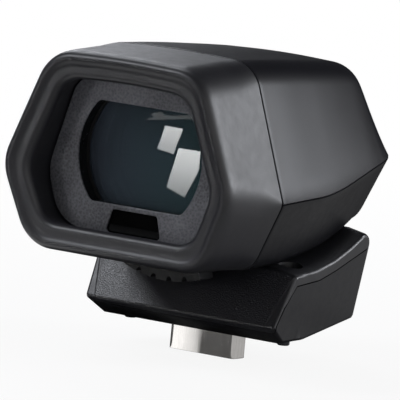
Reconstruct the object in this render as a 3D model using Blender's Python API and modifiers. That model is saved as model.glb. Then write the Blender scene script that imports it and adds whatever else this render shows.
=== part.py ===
"""Electronic viewfinder: a tilting eyepiece on a base with a plug. Metres, +Z up.

The origin is on the base's underside, on the plug's centre line. +Y points away from the user's eye,
and +X to the right. The optical axis runs along Y.
"""

import math

import bmesh
import bpy
from mathutils import Matrix, Vector

MM = 0.001

# Clearances and cuts
FIT_GAP = 0.3 * MM
CUT_OVERRUN = 3.0 * MM
MERGE_DISTANCE = 0.001 * MM

# Body of the viewfinder
AXIS_HEIGHT = 40.6 * MM
AXIS_TO_TOP = 23.6 * MM
AXIS_TO_LOW = 23.1 * MM
BODY_HALF_WIDTH = 32.0 * MM
BODY_SEAM_Y = -22.6 * MM
BODY_LENGTH = 58.4 * MM
BODY_WALL = 2.0 * MM
BODY_CROWN = 0.8 * MM
CROWN_RADIUS = 400.0 * MM
BODY_TOP_RADIUS = 8.0 * MM
BODY_LOW_RADIUS = 5.0 * MM
SIDE_SEAM_GAP = 0.3 * MM

# Along the body: place, top half width, top height, side half width, side height, low half width, low height
BODY_STATION_SHARES = (
    (0.000, 0.656, 1.000, 1.000, -0.299, 0.781, -1.000),
    (0.158, 0.650, 0.992, 0.994, -0.277, 0.731, -1.000),
    (0.312, 0.637, 0.979, 0.984, -0.255, 0.688, -0.987),
    (0.449, 0.625, 0.962, 0.963, -0.199, 0.669, -0.939),
    (0.586, 0.603, 0.945, 0.931, -0.117, 0.656, -0.874),
    (0.717, 0.572, 0.924, 0.894, -0.039, 0.650, -0.753),
    (0.795, 0.544, 0.894, 0.863, -0.004, 0.644, -0.658),
    (0.834, 0.525, 0.835, 0.844, 0.013, 0.634, -0.632),
    (0.873, 0.519, 0.703, 0.819, 0.025, 0.619, -0.554),
    (0.911, 0.519, 0.525, 0.778, 0.038, 0.591, -0.446),
    (0.943, 0.506, 0.373, 0.725, 0.047, 0.550, -0.325),
    (0.969, 0.475, 0.246, 0.662, 0.055, 0.494, -0.199),
    (0.990, 0.425, 0.157, 0.594, 0.059, 0.431, -0.069),
    (1.000, 0.375, 0.114, 0.550, 0.064, 0.388, 0.000),
)
CAVITY_STRAIGHT_COUNT = 6
CAVITY_STATION_COUNT = 12

# Eyecup
RIM_TOP_HALF = 21.0 * MM
RIM_TOP_RISE = 22.4 * MM
RIM_TOP_Y = -43.8 * MM
RIM_SIDE_DROP = 4.6 * MM
RIM_SIDE_Y = -44.0 * MM
RIM_LOW_HALF = 24.4 * MM
RIM_LOW_DROP = 23.4 * MM
RIM_LOW_Y = -41.5 * MM
RIM_RADII = (10.0 * MM, 9.0 * MM, 9.0 * MM)
SEAM_RADII = (8.0 * MM, 3.0 * MM, 6.0 * MM)
EYECUP_WALL = 2.0 * MM
RIM_CREST_INSET = 1.9 * MM
RIM_GROOVE_INSET = 2.9 * MM
RIM_RIDGE_INSET = 3.8 * MM
RIM_EDGE_INSET = 4.9 * MM
RIM_SHOULDER_INSET = 0.55 * MM

# How far along the eyecup, from the seam to the rim, each change of its section lies
EYECUP_SHOULDER_SHARE = 0.86
EYECUP_ROUND_SHARE = 0.955
EYECUP_GROOVE_SHARE = 0.965
EYECUP_RIDGE_SHARE = 0.985
EYECUP_EDGE_SHARE = 0.93

# Eyepiece plate with its window
PLATE_TOP_HALF = 18.6 * MM
PLATE_TOP_RISE = 17.2 * MM
PLATE_SIDE_HALF = 25.2 * MM
PLATE_SIDE_DROP = 5.8 * MM
PLATE_LOW_HALF = 20.6 * MM
PLATE_LOW_DROP = 18.5 * MM
PLATE_RADII = (4.0 * MM, 4.0 * MM, 4.0 * MM)
PLATE_FRONT_Y = -34.4 * MM
PLATE_THICKNESS = 3.4 * MM
SENSOR_TOP_HALF = 5.85 * MM
SENSOR_LOW_HALF = 7.15 * MM
SENSOR_TOP_DROP = 12.9 * MM
SENSOR_HEIGHT = 4.8 * MM
SENSOR_RADIUS = 1.0 * MM
SENSOR_WINDOW_THICKNESS = 1.2 * MM
SENSOR_WINDOW_SINK = 0.5 * MM
SENSOR_BOARD_RELIEF = 1.6 * MM
SENSOR_CHIP_HALF = (2.0 * MM, 0.5 * MM, 1.2 * MM)
SENSOR_BOARD_HALF = (5.0 * MM, 0.3 * MM, 1.9 * MM)

# Eyepiece frame and optics
FRAME_BULKHEAD = 2.6 * MM
FRAME_SKIRT_WALL = 1.5 * MM
FRAME_REACH_PAST_SEAM = 1.7 * MM
RING_ROOF_GAP = 0.2 * MM
RING_OUTER_RADIUS = AXIS_TO_TOP - BODY_WALL - RING_ROOF_GAP
RING_WALL = 1.2 * MM
TUBE_OUTER_RADIUS = RING_OUTER_RADIUS - RING_WALL - FIT_GAP
TUBE_WALL = 1.6 * MM
TUBE_REAR_Y = -9.0 * MM
LENS_LEDGE = 0.9 * MM
LENS_LEDGE_LENGTH = 0.6 * MM
EYE_LENS_RADIUS = TUBE_OUTER_RADIUS - TUBE_WALL - LENS_LEDGE
EYE_LENS_HALF_HEIGHT = 12.4 * MM
WINDOW_LAP = 0.5 * MM
WINDOW_RADIUS = EYE_LENS_RADIUS - WINDOW_LAP
WINDOW_SILL = 0.9 * MM
WINDOW_HALF_HEIGHT = EYE_LENS_HALF_HEIGHT - WINDOW_SILL
EYE_LENS_RIM = 1.9 * MM
EYE_LENS_BULGE = 0.4 * MM
GASKET_THICKNESS = 0.5 * MM
GASKET_WIDTH = 0.7 * MM
CARRIER_FRONT_Y = -25.2 * MM
CARRIER_LENGTH = 13.0 * MM
CARRIER_WALL = 1.2 * MM
CARRIER_TRAVEL = 1.6 * MM
FRONT_ELEMENT_RIM = 2.4 * MM
FRONT_ELEMENT_BULGE = 1.6 * MM
REAR_ELEMENT_RIM = 2.0 * MM
REAR_ELEMENT_BULGE = 1.1 * MM
LENS_STOP = 1.0 * MM
SPACER_LENGTH = 3.4 * MM
SPACER_WALL = 1.0 * MM
LOCK_RING_LENGTH = 1.2 * MM
CAM_PIN_RADIUS = 0.8 * MM
CAM_PIN_SEAT = 0.7 * MM

# Diopter ring
RING_FRONT_Y = -20.5 * MM
RING_WIDTH = 6.2 * MM
THUMB_REACH = 7.5 * MM
THUMB_RADIUS = RING_OUTER_RADIUS + THUMB_REACH
THUMB_WALL = 0.9 * MM
THUMB_REST_TURN = math.radians(-1.8)
RIB_PITCH = math.radians(8.6)
RIB_COUNT = 5
RIB_GROOVE_WIDTH = 1.3 * MM
RIB_GROOVE_DEPTH = 1.1 * MM
DIOPTER_TURN = math.radians(28.0)
WHEEL_SLOT_HALF = 20.4 * MM
THUMB_SIDE_INSET = 0.4 * MM

# Display unit
HOOD_REAR_HALF = (8.6 * MM, 7.2 * MM)
HOOD_REAR_Y = 6.4 * MM
HOOD_WALL = 1.1 * MM
SOFT_CORNER_SHARE = 0.34
FIELD_LENS_RADIUS = 8.8 * MM
FIELD_LENS_Y = 1.4 * MM
FIELD_LENS_RIM = 1.6 * MM
FIELD_LENS_BULGE = 1.2 * MM
HOLDER_HALF = (12.0 * MM, 9.6 * MM)
HOLDER_THICKNESS = 2.6 * MM
HOLDER_LIP = 0.8 * MM
PANEL_HALF = (7.4 * MM, 5.9 * MM)
PANEL_THICKNESS = 1.6 * MM
HEATSINK_HALF = (11.0 * MM, 6.2 * MM)
HEATSINK_THICKNESS = 1.2 * MM
HEATSINK_FIN_DEPTH = 0.8 * MM
HEATSINK_FIN_WIDTH = 1.2 * MM
HEATSINK_FIN_COUNT = 6

# Chassis and boards
CHASSIS_THICKNESS = 1.2 * MM
CHASSIS_HALF_WIDTH = 13.0 * MM
CHASSIS_FLOOR_DROP = 10.0 * MM
CHASSIS_FLOOR_Z = AXIS_HEIGHT - CHASSIS_FLOOR_DROP
CHASSIS_TOP_RISE = 12.4 * MM
CHASSIS_TOP_Z = AXIS_HEIGHT + CHASSIS_TOP_RISE
CHASSIS_SLOT_HALF = (6.4 * MM, 1.6 * MM)
BOARD_HALF_WIDTH = 16.0 * MM
BOARD_LOW_DROP = 8.2 * MM
BOARD_LOW_Z = AXIS_HEIGHT - BOARD_LOW_DROP
BOARD_TOP_RISE = 13.9 * MM
BOARD_TOP_Z = AXIS_HEIGHT + BOARD_TOP_RISE
BOARD_THICKNESS = 1.0 * MM
BOARD_STANDOFF = 1.5 * MM
BOARD_SCREW_RADIUS = 0.8 * MM
BOARD_SCREW_HEAD_RADIUS = 1.5 * MM
BOARD_SCREW_HEAD = 0.8 * MM
BOARD_SCREW_INSET = 2.4 * MM
BOARD_POST_RISE = 4.0 * MM
SOCKET_HEIGHT = 3.0 * MM
SOCKET_DEPTH = 1.4 * MM
SOCKET_RIM = 1.0 * MM
MAIN_CHIP_RISE = 3.9 * MM
MAIN_CHIP_HALF = 4.6 * MM
MAIN_CHIP_THICKNESS = 1.2 * MM
MITRE_LIMIT_SHARE = 0.3
FLEX_THICKNESS = 0.3 * MM
FLEX_HALF_WIDTH = 4.5 * MM

# Tilt hinge
HINGE_Y = 23.75 * MM
HINGE_Z = 21.4 * MM
BARREL_RADIUS = 3.2 * MM
KNUCKLE_HALF_LENGTH = 13.6 * MM
KNUCKLE_BORE_RADIUS = 2.3 * MM
KNUCKLE_END_WALL = 2.4 * MM
KNUCKLE_ARM_HALF = (10.6 * MM, 2.1 * MM)
KNUCKLE_FOOT_LENGTH = 12.0 * MM
KNUCKLE_FOOT_THICKNESS = 1.8 * MM
KNUCKLE_SCREW_X = 8.0 * MM
KNUCKLE_SCREW_INSET = 3.2 * MM
SHAFT_RADIUS = 1.2 * MM
WASHER_THICKNESS = 0.6 * MM
WASHER_RADIUS = 2.2 * MM
EAR_THICKNESS = 1.6 * MM
EAR_RADIUS = 2.2 * MM
EAR_LEG_LENGTH = 4.8 * MM
EAR_SHOULDER_DROP = 5.0 * MM
EAR_ARC_START = -25
EAR_ARC_END = 150
NUT_SIDES = 6
NUT_THICKNESS = 1.8 * MM
NUT_RADIUS = 2.3 * MM
NUT_BORE_RADIUS = 1.7 * MM
SHAFT_END_PROUD = 0.5 * MM
BRACKET_FLOOR_THICKNESS = 1.2 * MM
BRACKET_FLOOR_LENGTH = 9.0 * MM
BRACKET_LIFT = 0.1 * MM
BRACKET_SCREW_X = 9.0 * MM
BRACKET_SCREW_BITE = 1.2 * MM

# Base
BASE_FRONT_Y = -7.45 * MM
BASE_CHIN_Y = -13.3 * MM
BASE_CHIN_Z = 3.7 * MM
BASE_BROW_Y = -7.15 * MM
BASE_BROW_Z = 16.0 * MM
BASE_DECK_POINTS = ((2.65 * MM, 16.7 * MM), (10.65 * MM, 18.4 * MM), (17.6 * MM, 20.9 * MM))
BASE_REAR_LOW_Y = 26.55 * MM
BASE_REAR_LOW_Z = 3.4 * MM
BASE_FLAT_END_Y = 3.05 * MM
BASE_HALF_WIDTH = 24.4 * MM
BASE_FLARE_SHARE = 0.15
BASE_TAPER_SHARE = 0.105
BASE_WALL = 1.8 * MM
BASE_EDGE_RADIUS = 0.9 * MM
DECK_RISE = 1.0 * MM
DECK_SHOULDER_SHARE = 0.78
BARREL_ARC_START = 125
COVER_SEAM_POINTS = ((-11.6 * MM, 2.2 * MM), (-12.1 * MM, 4.4 * MM), (-10.0 * MM, 8.6 * MM),
                     (-6.15 * MM, 13.5 * MM), (4.45 * MM, 14.1 * MM), (11.65 * MM, 15.8 * MM),
                     (26.0 * MM, 20.2 * MM))
COVER_REGION_TOP_Z = 30.0 * MM

# Captive screws
SCREW_X = 21.3 * MM
SCREW_Y = -0.95 * MM
SCREW_RADIUS = 1.5 * MM
SCREW_TIP_DROP = 1.2 * MM
SCREW_HEAD_RADIUS = 2.5 * MM
SCREW_HEAD_HEIGHT = 2.4 * MM
SCREW_HEAD_TOP_Z = 13.5 * MM
SCREW_TIP_CHAMFER = 0.3 * MM
CLIP_CHAMBER_ROOF = 2.4 * MM
SCREW_SLOT_WIDTH = 0.8 * MM
SCREW_SLOT_DEPTH = 1.0 * MM
SCREW_TRAVEL = 2.5 * MM
SCREW_NECK_RADIUS = 1.1 * MM
CLIP_RADIUS = 2.3 * MM
CLIP_THICKNESS = 0.6 * MM
SCREW_POST_RADIUS = 3.7 * MM
SCREW_ACCESS_RADIUS = 2.9 * MM

# Plug
PLUG_HALF_WIDTH = 9.2 * MM
PLUG_HALF_DEPTH = 2.65 * MM
PLUG_REACH = 6.3 * MM
PLUG_INNER_HEIGHT = 4.6 * MM
PLUG_RADIUS = 1.3 * MM
PLUG_WALL = 0.6 * MM
PLUG_FLANGE = 1.0 * MM
PLUG_FLANGE_THICKNESS = 0.8 * MM
TONGUE_HALF_DEPTH = 0.7 * MM
TONGUE_SIDE_GAP = 1.4 * MM
TONGUE_RECESS = 0.9 * MM
TONGUE_FOOT_Z = 0.5 * MM
CONTACT_COUNT = 11
CONTACT_WIDTH = 0.7 * MM
CONTACT_PITCH = 1.25 * MM
CONTACT_THICKNESS = 0.2 * MM
CONTACT_LENGTH = 3.6 * MM
GASKET_HEIGHT = 0.7 * MM
GASKET_RIM = 1.0 * MM
CONNECTOR_BOARD_HALF = (14.0 * MM, 7.4 * MM)
CONNECTOR_BOARD_Y = 3.6 * MM
CONNECTOR_BOARD_THICKNESS = 1.0 * MM
BASE_FLEX_OVERLAP = 3.0 * MM
BASE_FLEX_RISE_Y = (11.6 * MM, 13.6 * MM)
BASE_FLEX_BEND_Y = 21.6 * MM
BASE_FLEX_END_GAP = 0.3 * MM

# Housing and base screws. A housing screw's place is inward from the body's side, and along
SMALL_SCREW_RADIUS = 0.9 * MM
SMALL_HEAD_RADIUS = 1.6 * MM
SMALL_HEAD_HEIGHT = 1.0 * MM
SMALL_SCREW_LENGTH = 5.0 * MM
HOUSING_BOSS_RADIUS = 2.4 * MM
HOUSING_SCREW_PLACES = ((13.5 * MM, -1.0 * MM), (14.4 * MM, 19.3 * MM))
HOUSING_HEAD_SINK = 2.4 * MM
HOUSING_SPLIT_DROP = 10.6 * MM
BASE_SCREW_X = 18.5 * MM
BASE_SCREW_Y = 10.5 * MM
BASE_SCREW_SEAT_Z = 2.6 * MM
BASE_POST_SPLIT_Z = 8.0 * MM

# Facets
ARC_STEPS = 4
ROUND_STEPS = 32
LENS_STEPS = 24
CAM_GROOVE_STEPS = 13
SMALL_STEPS = 16
SCREW_STEPS = 10

PARTS = bpy.data.collections.new("electronic_viewfinder")
CUTTERS = bpy.data.collections.new("cutters")


def clear_scene():
    """Remove what the new file holds and link the two collections."""
    for item in list(bpy.data.objects):
        bpy.data.objects.remove(item, do_unlink=True)
    bpy.context.scene.collection.children.link(PARTS)
    bpy.context.scene.collection.children.link(CUTTERS)


def material(name, colour, roughness, metallic=0.0):
    """A plain Principled material."""
    made = bpy.data.materials.new(name)
    made.use_nodes = True
    shader = made.node_tree.nodes["Principled BSDF"]
    shader.inputs["Base Color"].default_value = (*colour, 1.0)
    shader.inputs["Roughness"].default_value = roughness
    shader.inputs["Metallic"].default_value = metallic
    made.diffuse_color = (*colour, 1.0)
    return made


def object_from(name, shape, finish=None):
    """Turn a bmesh into an object, as a part if it has a finish and as a cutter if not."""
    bmesh.ops.remove_doubles(shape, verts=shape.verts, dist=MERGE_DISTANCE)
    bmesh.ops.recalc_face_normals(shape, faces=shape.faces)
    mesh = bpy.data.meshes.new(name)
    shape.to_mesh(mesh)
    shape.free()
    made = bpy.data.objects.new(name, mesh)
    if finish is None:
        CUTTERS.objects.link(made)
        made.hide_render = True
        made.display_type = "WIRE"
    else:
        PARTS.objects.link(made)
        mesh.materials.append(finish)
    return made


def boolean(target, other, operation="DIFFERENCE"):
    """Cut, join or trim a part with a cutter."""
    step = target.modifiers.new(other.name, "BOOLEAN")
    step.operation = operation
    step.solver = "EXACT"
    step.object = other


def smooth(item, degrees=35.0):
    """Shade a round piece smooth, with its hard edges kept."""
    item.data.shade_smooth()
    item.data.set_sharp_from_angle(angle=math.radians(degrees))


def box_shape(low, high):
    """A bmesh block between two corners."""
    shape = bmesh.new()
    low = Vector(low)
    high = Vector(high)
    place = Matrix.Translation((low + high) / 2) @ Matrix.Diagonal((*(high - low), 1))
    bmesh.ops.create_cube(shape, size=1, matrix=place)
    return shape


def box(name, low, high, finish=None):
    """A block between two corners."""
    return object_from(name, box_shape(low, high), finish)


def block(name, centre, half, finish=None):
    """A block from its centre and half sizes."""
    centre = Vector(centre)
    half = Vector(half)
    return box(name, centre - half, centre + half, finish)


def rod_shape(shape, start, end, radius, steps=SMALL_STEPS):
    """Add a round bar between two points to a bmesh."""
    start = Vector(start)
    end = Vector(end)
    along = end - start
    turn = along.to_track_quat("Z", "Y").to_matrix().to_4x4()
    place = Matrix.Translation((start + end) / 2) @ turn
    bmesh.ops.create_cone(shape, cap_ends=True, segments=steps, radius1=radius, radius2=radius,
                          depth=along.length, matrix=place)


def rod(name, start, end, radius, finish=None, steps=SMALL_STEPS):
    """A round bar between two points."""
    shape = bmesh.new()
    rod_shape(shape, start, end, radius, steps)
    made = object_from(name, shape, finish)
    smooth(made)
    return made


def prism(name, outline, axis, low, high, finish=None):
    """An outline pushed along an axis. Its points are in the other two axes, in XYZ order."""
    shape = bmesh.new()
    corners = []
    for first, second in outline:
        place = [first, second]
        place.insert("XYZ".index(axis), low)
        corners.append(shape.verts.new(place))
    face = shape.faces.new(corners)
    pushed = bmesh.ops.extrude_face_region(shape, geom=[face])
    shift = [0, 0, 0]
    shift["XYZ".index(axis)] = high - low
    moved = [item for item in pushed["geom"] if isinstance(item, bmesh.types.BMVert)]
    bmesh.ops.translate(shape, verts=moved, vec=shift)
    return object_from(name, shape, finish)


def turned(name, profile, centre, finish=None, steps=ROUND_STEPS, axis="Y"):
    """A closed profile of (radius, place along the axis) turned about the axis with a Screw."""
    area = 0
    for (r_one, z_one), (r_two, z_two) in zip(profile, profile[1:] + profile[:1]):
        area += r_one * z_two - r_two * z_one
    points = list(reversed(profile)) if area > 0 else list(profile)
    on_axis = [index for index, point in enumerate(points) if point[0] == 0]
    closed = not on_axis
    if on_axis:
        first = max(on_axis, key=lambda index: points[index][1])
        points = points[first:] + points[:first]
    mesh = bpy.data.meshes.new(name)
    edges = [(index, index + 1) for index in range(len(points) - 1)]
    if closed:
        edges.append((len(points) - 1, 0))
    mesh.from_pydata([(radius, 0, place) for radius, place in points], edges, [])
    made = bpy.data.objects.new(name, mesh)
    made.location = centre
    made.rotation_euler = {"X": (0, math.radians(90), 0), "Y": (math.radians(-90), 0, 0), "Z": (0, 0,
                                                                                                0)}[axis]
    screw = made.modifiers.new("turn", "SCREW")
    screw.axis = "Z"
    screw.steps = steps
    screw.render_steps = steps
    screw.use_merge_vertices = True
    screw.merge_threshold = MERGE_DISTANCE
    if finish is None:
        CUTTERS.objects.link(made)
        made.hide_render = True
        made.display_type = "WIRE"
    else:
        PARTS.objects.link(made)
        mesh.materials.append(finish)
    return made


def ring_profile(inner, outer, low, high):
    """The four corners of a plain ring's section."""
    return [(inner, low), (outer, low), (outer, high), (inner, high)]


def disc_profile(outer, low, high):
    """The section of a plain disc, from the axis out."""
    return [(0, low), (outer, low), (outer, high), (0, high)]


def screw(name, place, seat, tip, axis, finish, head_radius=SMALL_HEAD_RADIUS,
          head_height=SMALL_HEAD_HEIGHT,
          shank_radius=SMALL_SCREW_RADIUS):
    """A screw with a flat head, from the seat under its head to its tip along an axis."""
    top = seat + math.copysign(head_height, seat - tip)
    profile = [(0, top), (head_radius, top), (head_radius, seat), (shank_radius, seat), (shank_radius,
                                                                                         tip), (0, tip)]
    return turned(name, profile, place, finish, SCREW_STEPS, axis)


def loft_shape(rings, caps=True):
    """Bridge unlike sections. Without caps the last section joins the first."""
    shape = bmesh.new()
    rows = [[shape.verts.new(point) for point in ring] for ring in rings]
    pairs = list(zip(rows, rows[1:]))
    if not caps:
        pairs.append((rows[-1], rows[0]))
    for row, following in pairs:
        count = len(row)
        for index in range(count):
            after = (index + 1) % count
            shape.faces.new((row[index], row[after], following[after], following[index]))
    if caps:
        shape.faces.new(rows[0])
        shape.faces.new(rows[-1])
    return shape


def rounded(corners, radii, steps=ARC_STEPS):
    """An outline whose corners are rounded, each by its own radius, held to what its edges allow."""
    points = []
    for index, corner in enumerate(corners):
        before = corners[index - 1]
        after = corners[(index + 1) % len(corners)]
        to_before = before - corner
        to_after = after - corner
        room = min(to_before.length, to_after.length) * 0.49
        to_before.normalize()
        to_after.normalize()
        half_angle = to_before.angle(to_after) / 2
        radius = min(radii[index], room * math.tan(half_angle))
        if radius <= 0:
            points.append(corner.copy())
            continue
        centre = corner + (to_before + to_after).normalized() * (radius / math.sin(half_angle))
        reach = radius / math.tan(half_angle)
        first = corner + to_before * reach - centre
        last = corner + to_after * reach - centre
        sweep = first.angle(last)
        for step in range(steps + 1):
            share = step / steps
            mix = math.sin((1 - share) * sweep) * first + math.sin(share * sweep) * last
            points.append(centre + mix / math.sin(sweep))
    return points


def inset(corners, distance):
    """Move every edge of a convex outline inward by a distance."""
    middle = sum(corners, Vector((0, 0))) / len(corners)
    moved = []
    count = len(corners)
    lines = []
    for index in range(count):
        start = corners[index]
        along = (corners[(index + 1) % count] - start).normalized()
        inward = Vector((-along.y, along.x))
        if inward.dot(middle - start) < 0:
            inward.negate()
        lines.append((start + inward * distance, along))
    for index in range(count):
        start, along = lines[index - 1]
        other, heading = lines[index]
        cross = along.x * heading.y - along.y * heading.x
        gap = other - start
        moved.append(start + along * ((gap.x * heading.y - gap.y * heading.x) / cross))
    return moved


def hexagon(top_half, top_z, side_half, side_z, low_half, low_z):
    """Six corners in X and Z, from the top right round the low side to the top left."""
    right = [Vector((top_half, top_z)), Vector((side_half, side_z)), Vector((low_half, low_z))]
    left = [Vector((-point.x, point.y)) for point in reversed(right)]
    return right + left


def both_sides(radii):
    """The radii of a mirrored hexagon's six corners."""
    return list(radii) + list(reversed(radii))


def blend_hexagons(first, second, share):
    """A hexagon part of the way from one to another."""
    return [one.lerp(two, share) for one, two in zip(first, second)]


def at_depth(points, depth):
    """Stand an outline of X and Z up at a place along Y."""
    return [Vector((point.x, depth, point.y)) for point in points]


# Body covers


def body_height(share):
    """A height from its share of the body above or below the optical axis."""
    reach = AXIS_TO_TOP if share > 0 else AXIS_TO_LOW
    return AXIS_HEIGHT + reach * share


def body_station(index):
    """The place, corners and crown of one section of the body."""
    place, top_half, top, side_half, side, low_half, low = BODY_STATION_SHARES[index]
    corners = hexagon(BODY_HALF_WIDTH * top_half, body_height(top),
                      BODY_HALF_WIDTH * side_half, body_height(side),
                      BODY_HALF_WIDTH * low_half, body_height(low))
    return BODY_SEAM_Y + BODY_LENGTH * place, corners, BODY_CROWN * top


def body_section(depth):
    """The body's six corners at a place along Y."""
    places = [body_station(index) for index in range(len(BODY_STATION_SHARES))]
    for (y_one, one, _), (y_two, two, _) in zip(places, places[1:]):
        if y_one <= depth <= y_two:
            return blend_hexagons(one, two, (depth - y_one) / (y_two - y_one))
    return places[0][1]


def body_roof_height(across, depth):
    """The height of the body's upper side at a place across and along."""
    corners = body_section(depth)
    if across <= corners[0].x:
        return corners[0].y
    return corners[0].lerp(corners[1], (across - corners[0].x) / (corners[1].x - corners[0].x)).y


def crowned(corners, radii, crown):
    """A hexagon with a bowed top edge and round corners."""
    peak = Vector((0, corners[0].y + crown))
    return rounded([peak] + list(corners), [CROWN_RADIUS] + both_sides(radii))


def upper_outline(corners, crown):
    """The part of a body section above the side seam."""
    lift = Vector((0, SIDE_SEAM_GAP / 2))
    peak = Vector((0, corners[0].y + crown))
    outline = [corners[4] + lift, corners[5], peak, corners[0], corners[1] + lift]
    return rounded(outline, [0, BODY_TOP_RADIUS, CROWN_RADIUS, BODY_TOP_RADIUS, 0])


def lower_outline(corners):
    """The part of a body section below the side seam."""
    drop = Vector((0, -SIDE_SEAM_GAP / 2))
    outline = [corners[1] + drop, corners[2], corners[3], corners[4] + drop]
    return rounded(outline, [0, BODY_LOW_RADIUS, BODY_LOW_RADIUS, 0])


def body_rings(kind):
    """The sections of the upper or lower cover's outer shape, or of the space inside both."""
    rings = []
    last = len(BODY_STATION_SHARES) if kind != "cavity" else CAVITY_STATION_COUNT
    for index in range(last):
        depth, corners, crown = body_station(index)
        if kind == "cavity":
            depth -= BODY_WALL if index >= CAVITY_STRAIGHT_COUNT else 0
            depth -= CUT_OVERRUN if index == 0 else 0
            radii = [radius - BODY_WALL for radius in (BODY_TOP_RADIUS, BODY_WALL, BODY_LOW_RADIUS)]
            outline = crowned(inset(corners, BODY_WALL), radii, crown)
        else:
            depth += FIT_GAP / 2 if index == 0 else 0
            outline = upper_outline(corners, crown) if kind == "upper" else lower_outline(corners)
        rings.append(at_depth(outline, depth))
    return rings


def housing_screw_places():
    """The four screws that join the covers: across, along, the head's seat and the top of the post."""
    for side in (-1, 1):
        for from_side, depth in HOUSING_SCREW_PLACES:
            across = BODY_HALF_WIDTH - from_side
            seat = body_section(depth)[2].y + HOUSING_HEAD_SINK
            top = body_roof_height(across + HOUSING_BOSS_RADIUS, depth) - BODY_WALL
            yield side * across, depth, seat, top


def make_covers(finish_upper, finish_lower, finish_screw):
    """The two shells of the body, joined by four screws in posts."""
    upper = object_from("upper_cover", loft_shape(body_rings("upper")), finish_upper)
    lower = object_from("lower_cover", loft_shape(body_rings("lower")), finish_lower)
    cavity = object_from("cut_body_cavity", loft_shape(body_rings("cavity")))
    upper_posts = bmesh.new()
    lower_posts = bmesh.new()
    upper_holes = bmesh.new()
    lower_holes = bmesh.new()
    counterbores = bmesh.new()
    for number, (across, depth, seat, top) in enumerate(housing_screw_places()):
        split = AXIS_HEIGHT - HOUSING_SPLIT_DROP
        rod_shape(lower_posts, (across, depth, seat - HOUSING_HEAD_SINK / 2),
                  (across, depth, split - FIT_GAP / 2), HOUSING_BOSS_RADIUS)
        rod_shape(upper_posts, (across, depth, split + FIT_GAP / 2), (across, depth, top),
                  HOUSING_BOSS_RADIUS)
        hole = SMALL_SCREW_RADIUS + FIT_GAP
        rod_shape(upper_holes, (across, depth, split - CUT_OVERRUN),
                  (across, depth, split + SMALL_SCREW_LENGTH + FIT_GAP), hole)
        rod_shape(lower_holes, (across, depth, seat), (across, depth, split + CUT_OVERRUN), hole)
        rod_shape(counterbores, (across, depth, seat - HOUSING_HEAD_SINK - CUT_OVERRUN),
                  (across, depth, seat + FIT_GAP), SMALL_HEAD_RADIUS + FIT_GAP)
        screw("housing_screw_" + str(number + 1), (across, depth, 0), seat, split + SMALL_SCREW_LENGTH, "Z",
              finish_screw)
    boolean(upper, cavity)
    boolean(lower, cavity)
    boolean(upper, object_from("join_upper_posts", upper_posts), "UNION")
    boolean(lower, object_from("join_lower_posts", lower_posts), "UNION")
    boolean(upper, object_from("cut_upper_holes", upper_holes))
    boolean(lower, object_from("cut_counterbores", counterbores))
    boolean(lower, object_from("cut_lower_holes", lower_holes))
    slot = box("cut_wheel_slot",
               (-WHEEL_SLOT_HALF, RING_FRONT_Y - FIT_GAP, -CUT_OVERRUN),
               (WHEEL_SLOT_HALF, RING_FRONT_Y + RING_WIDTH + FIT_GAP,
                AXIS_HEIGHT - TUBE_OUTER_RADIUS + FIT_GAP))
    boolean(lower, slot)
    arm_x, arm_y = KNUCKLE_ARM_HALF
    arm = block("cut_arm_slot", (0, HINGE_Y, HINGE_Z),
                (arm_x + FIT_GAP, arm_y + FIT_GAP, CHASSIS_FLOOR_Z - HINGE_Z))
    boolean(lower, arm)


# Eyecup and eyepiece plate


def seam_hexagon():
    """The body's outline where the eyecup meets it."""
    return body_station(0)[1]


def rim_hexagon():
    """The outline of the eyecup's front edge."""
    return hexagon(RIM_TOP_HALF, AXIS_HEIGHT + RIM_TOP_RISE, BODY_HALF_WIDTH, AXIS_HEIGHT - RIM_SIDE_DROP,
                   RIM_LOW_HALF, AXIS_HEIGHT - RIM_LOW_DROP)


def plate_hexagon():
    """The outline that the eyecup's funnel leaves for the plate."""
    return hexagon(PLATE_TOP_HALF, AXIS_HEIGHT + PLATE_TOP_RISE, PLATE_SIDE_HALF,
                   AXIS_HEIGHT - PLATE_SIDE_DROP,
                   PLATE_LOW_HALF, AXIS_HEIGHT - PLATE_LOW_DROP)


def rim_depth(height):
    """How far forward the leaning rim lies at a height."""
    over = height - (AXIS_HEIGHT - RIM_SIDE_DROP)
    if over > 0:
        return RIM_SIDE_Y + (RIM_TOP_Y - RIM_SIDE_Y) * over / (RIM_SIDE_DROP + RIM_TOP_RISE)
    return RIM_SIDE_Y - (RIM_LOW_Y - RIM_SIDE_Y) * over / (RIM_LOW_DROP - RIM_SIDE_DROP)


def eyecup_ring(share, depth_inset):
    """One section of the eyecup, from the seam at 0 to the rim at 1, moved inward."""
    corners = blend_hexagons(seam_hexagon(), rim_hexagon(), share)
    radii = [one + (two - one) * share - depth_inset / 2 for one, two in zip(SEAM_RADII, RIM_RADII)]
    outline = crowned(inset(corners, depth_inset), radii, BODY_CROWN)
    start = BODY_SEAM_Y - FIT_GAP / 2
    return [Vector((point.x, start + (rim_depth(point.y) - start) * share, point.y)) for point in outline]


def flat_ring(corners, radii, depth, crown=BODY_CROWN):
    """One flat section at a place along Y."""
    return at_depth(crowned(corners, radii, crown), depth)


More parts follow.
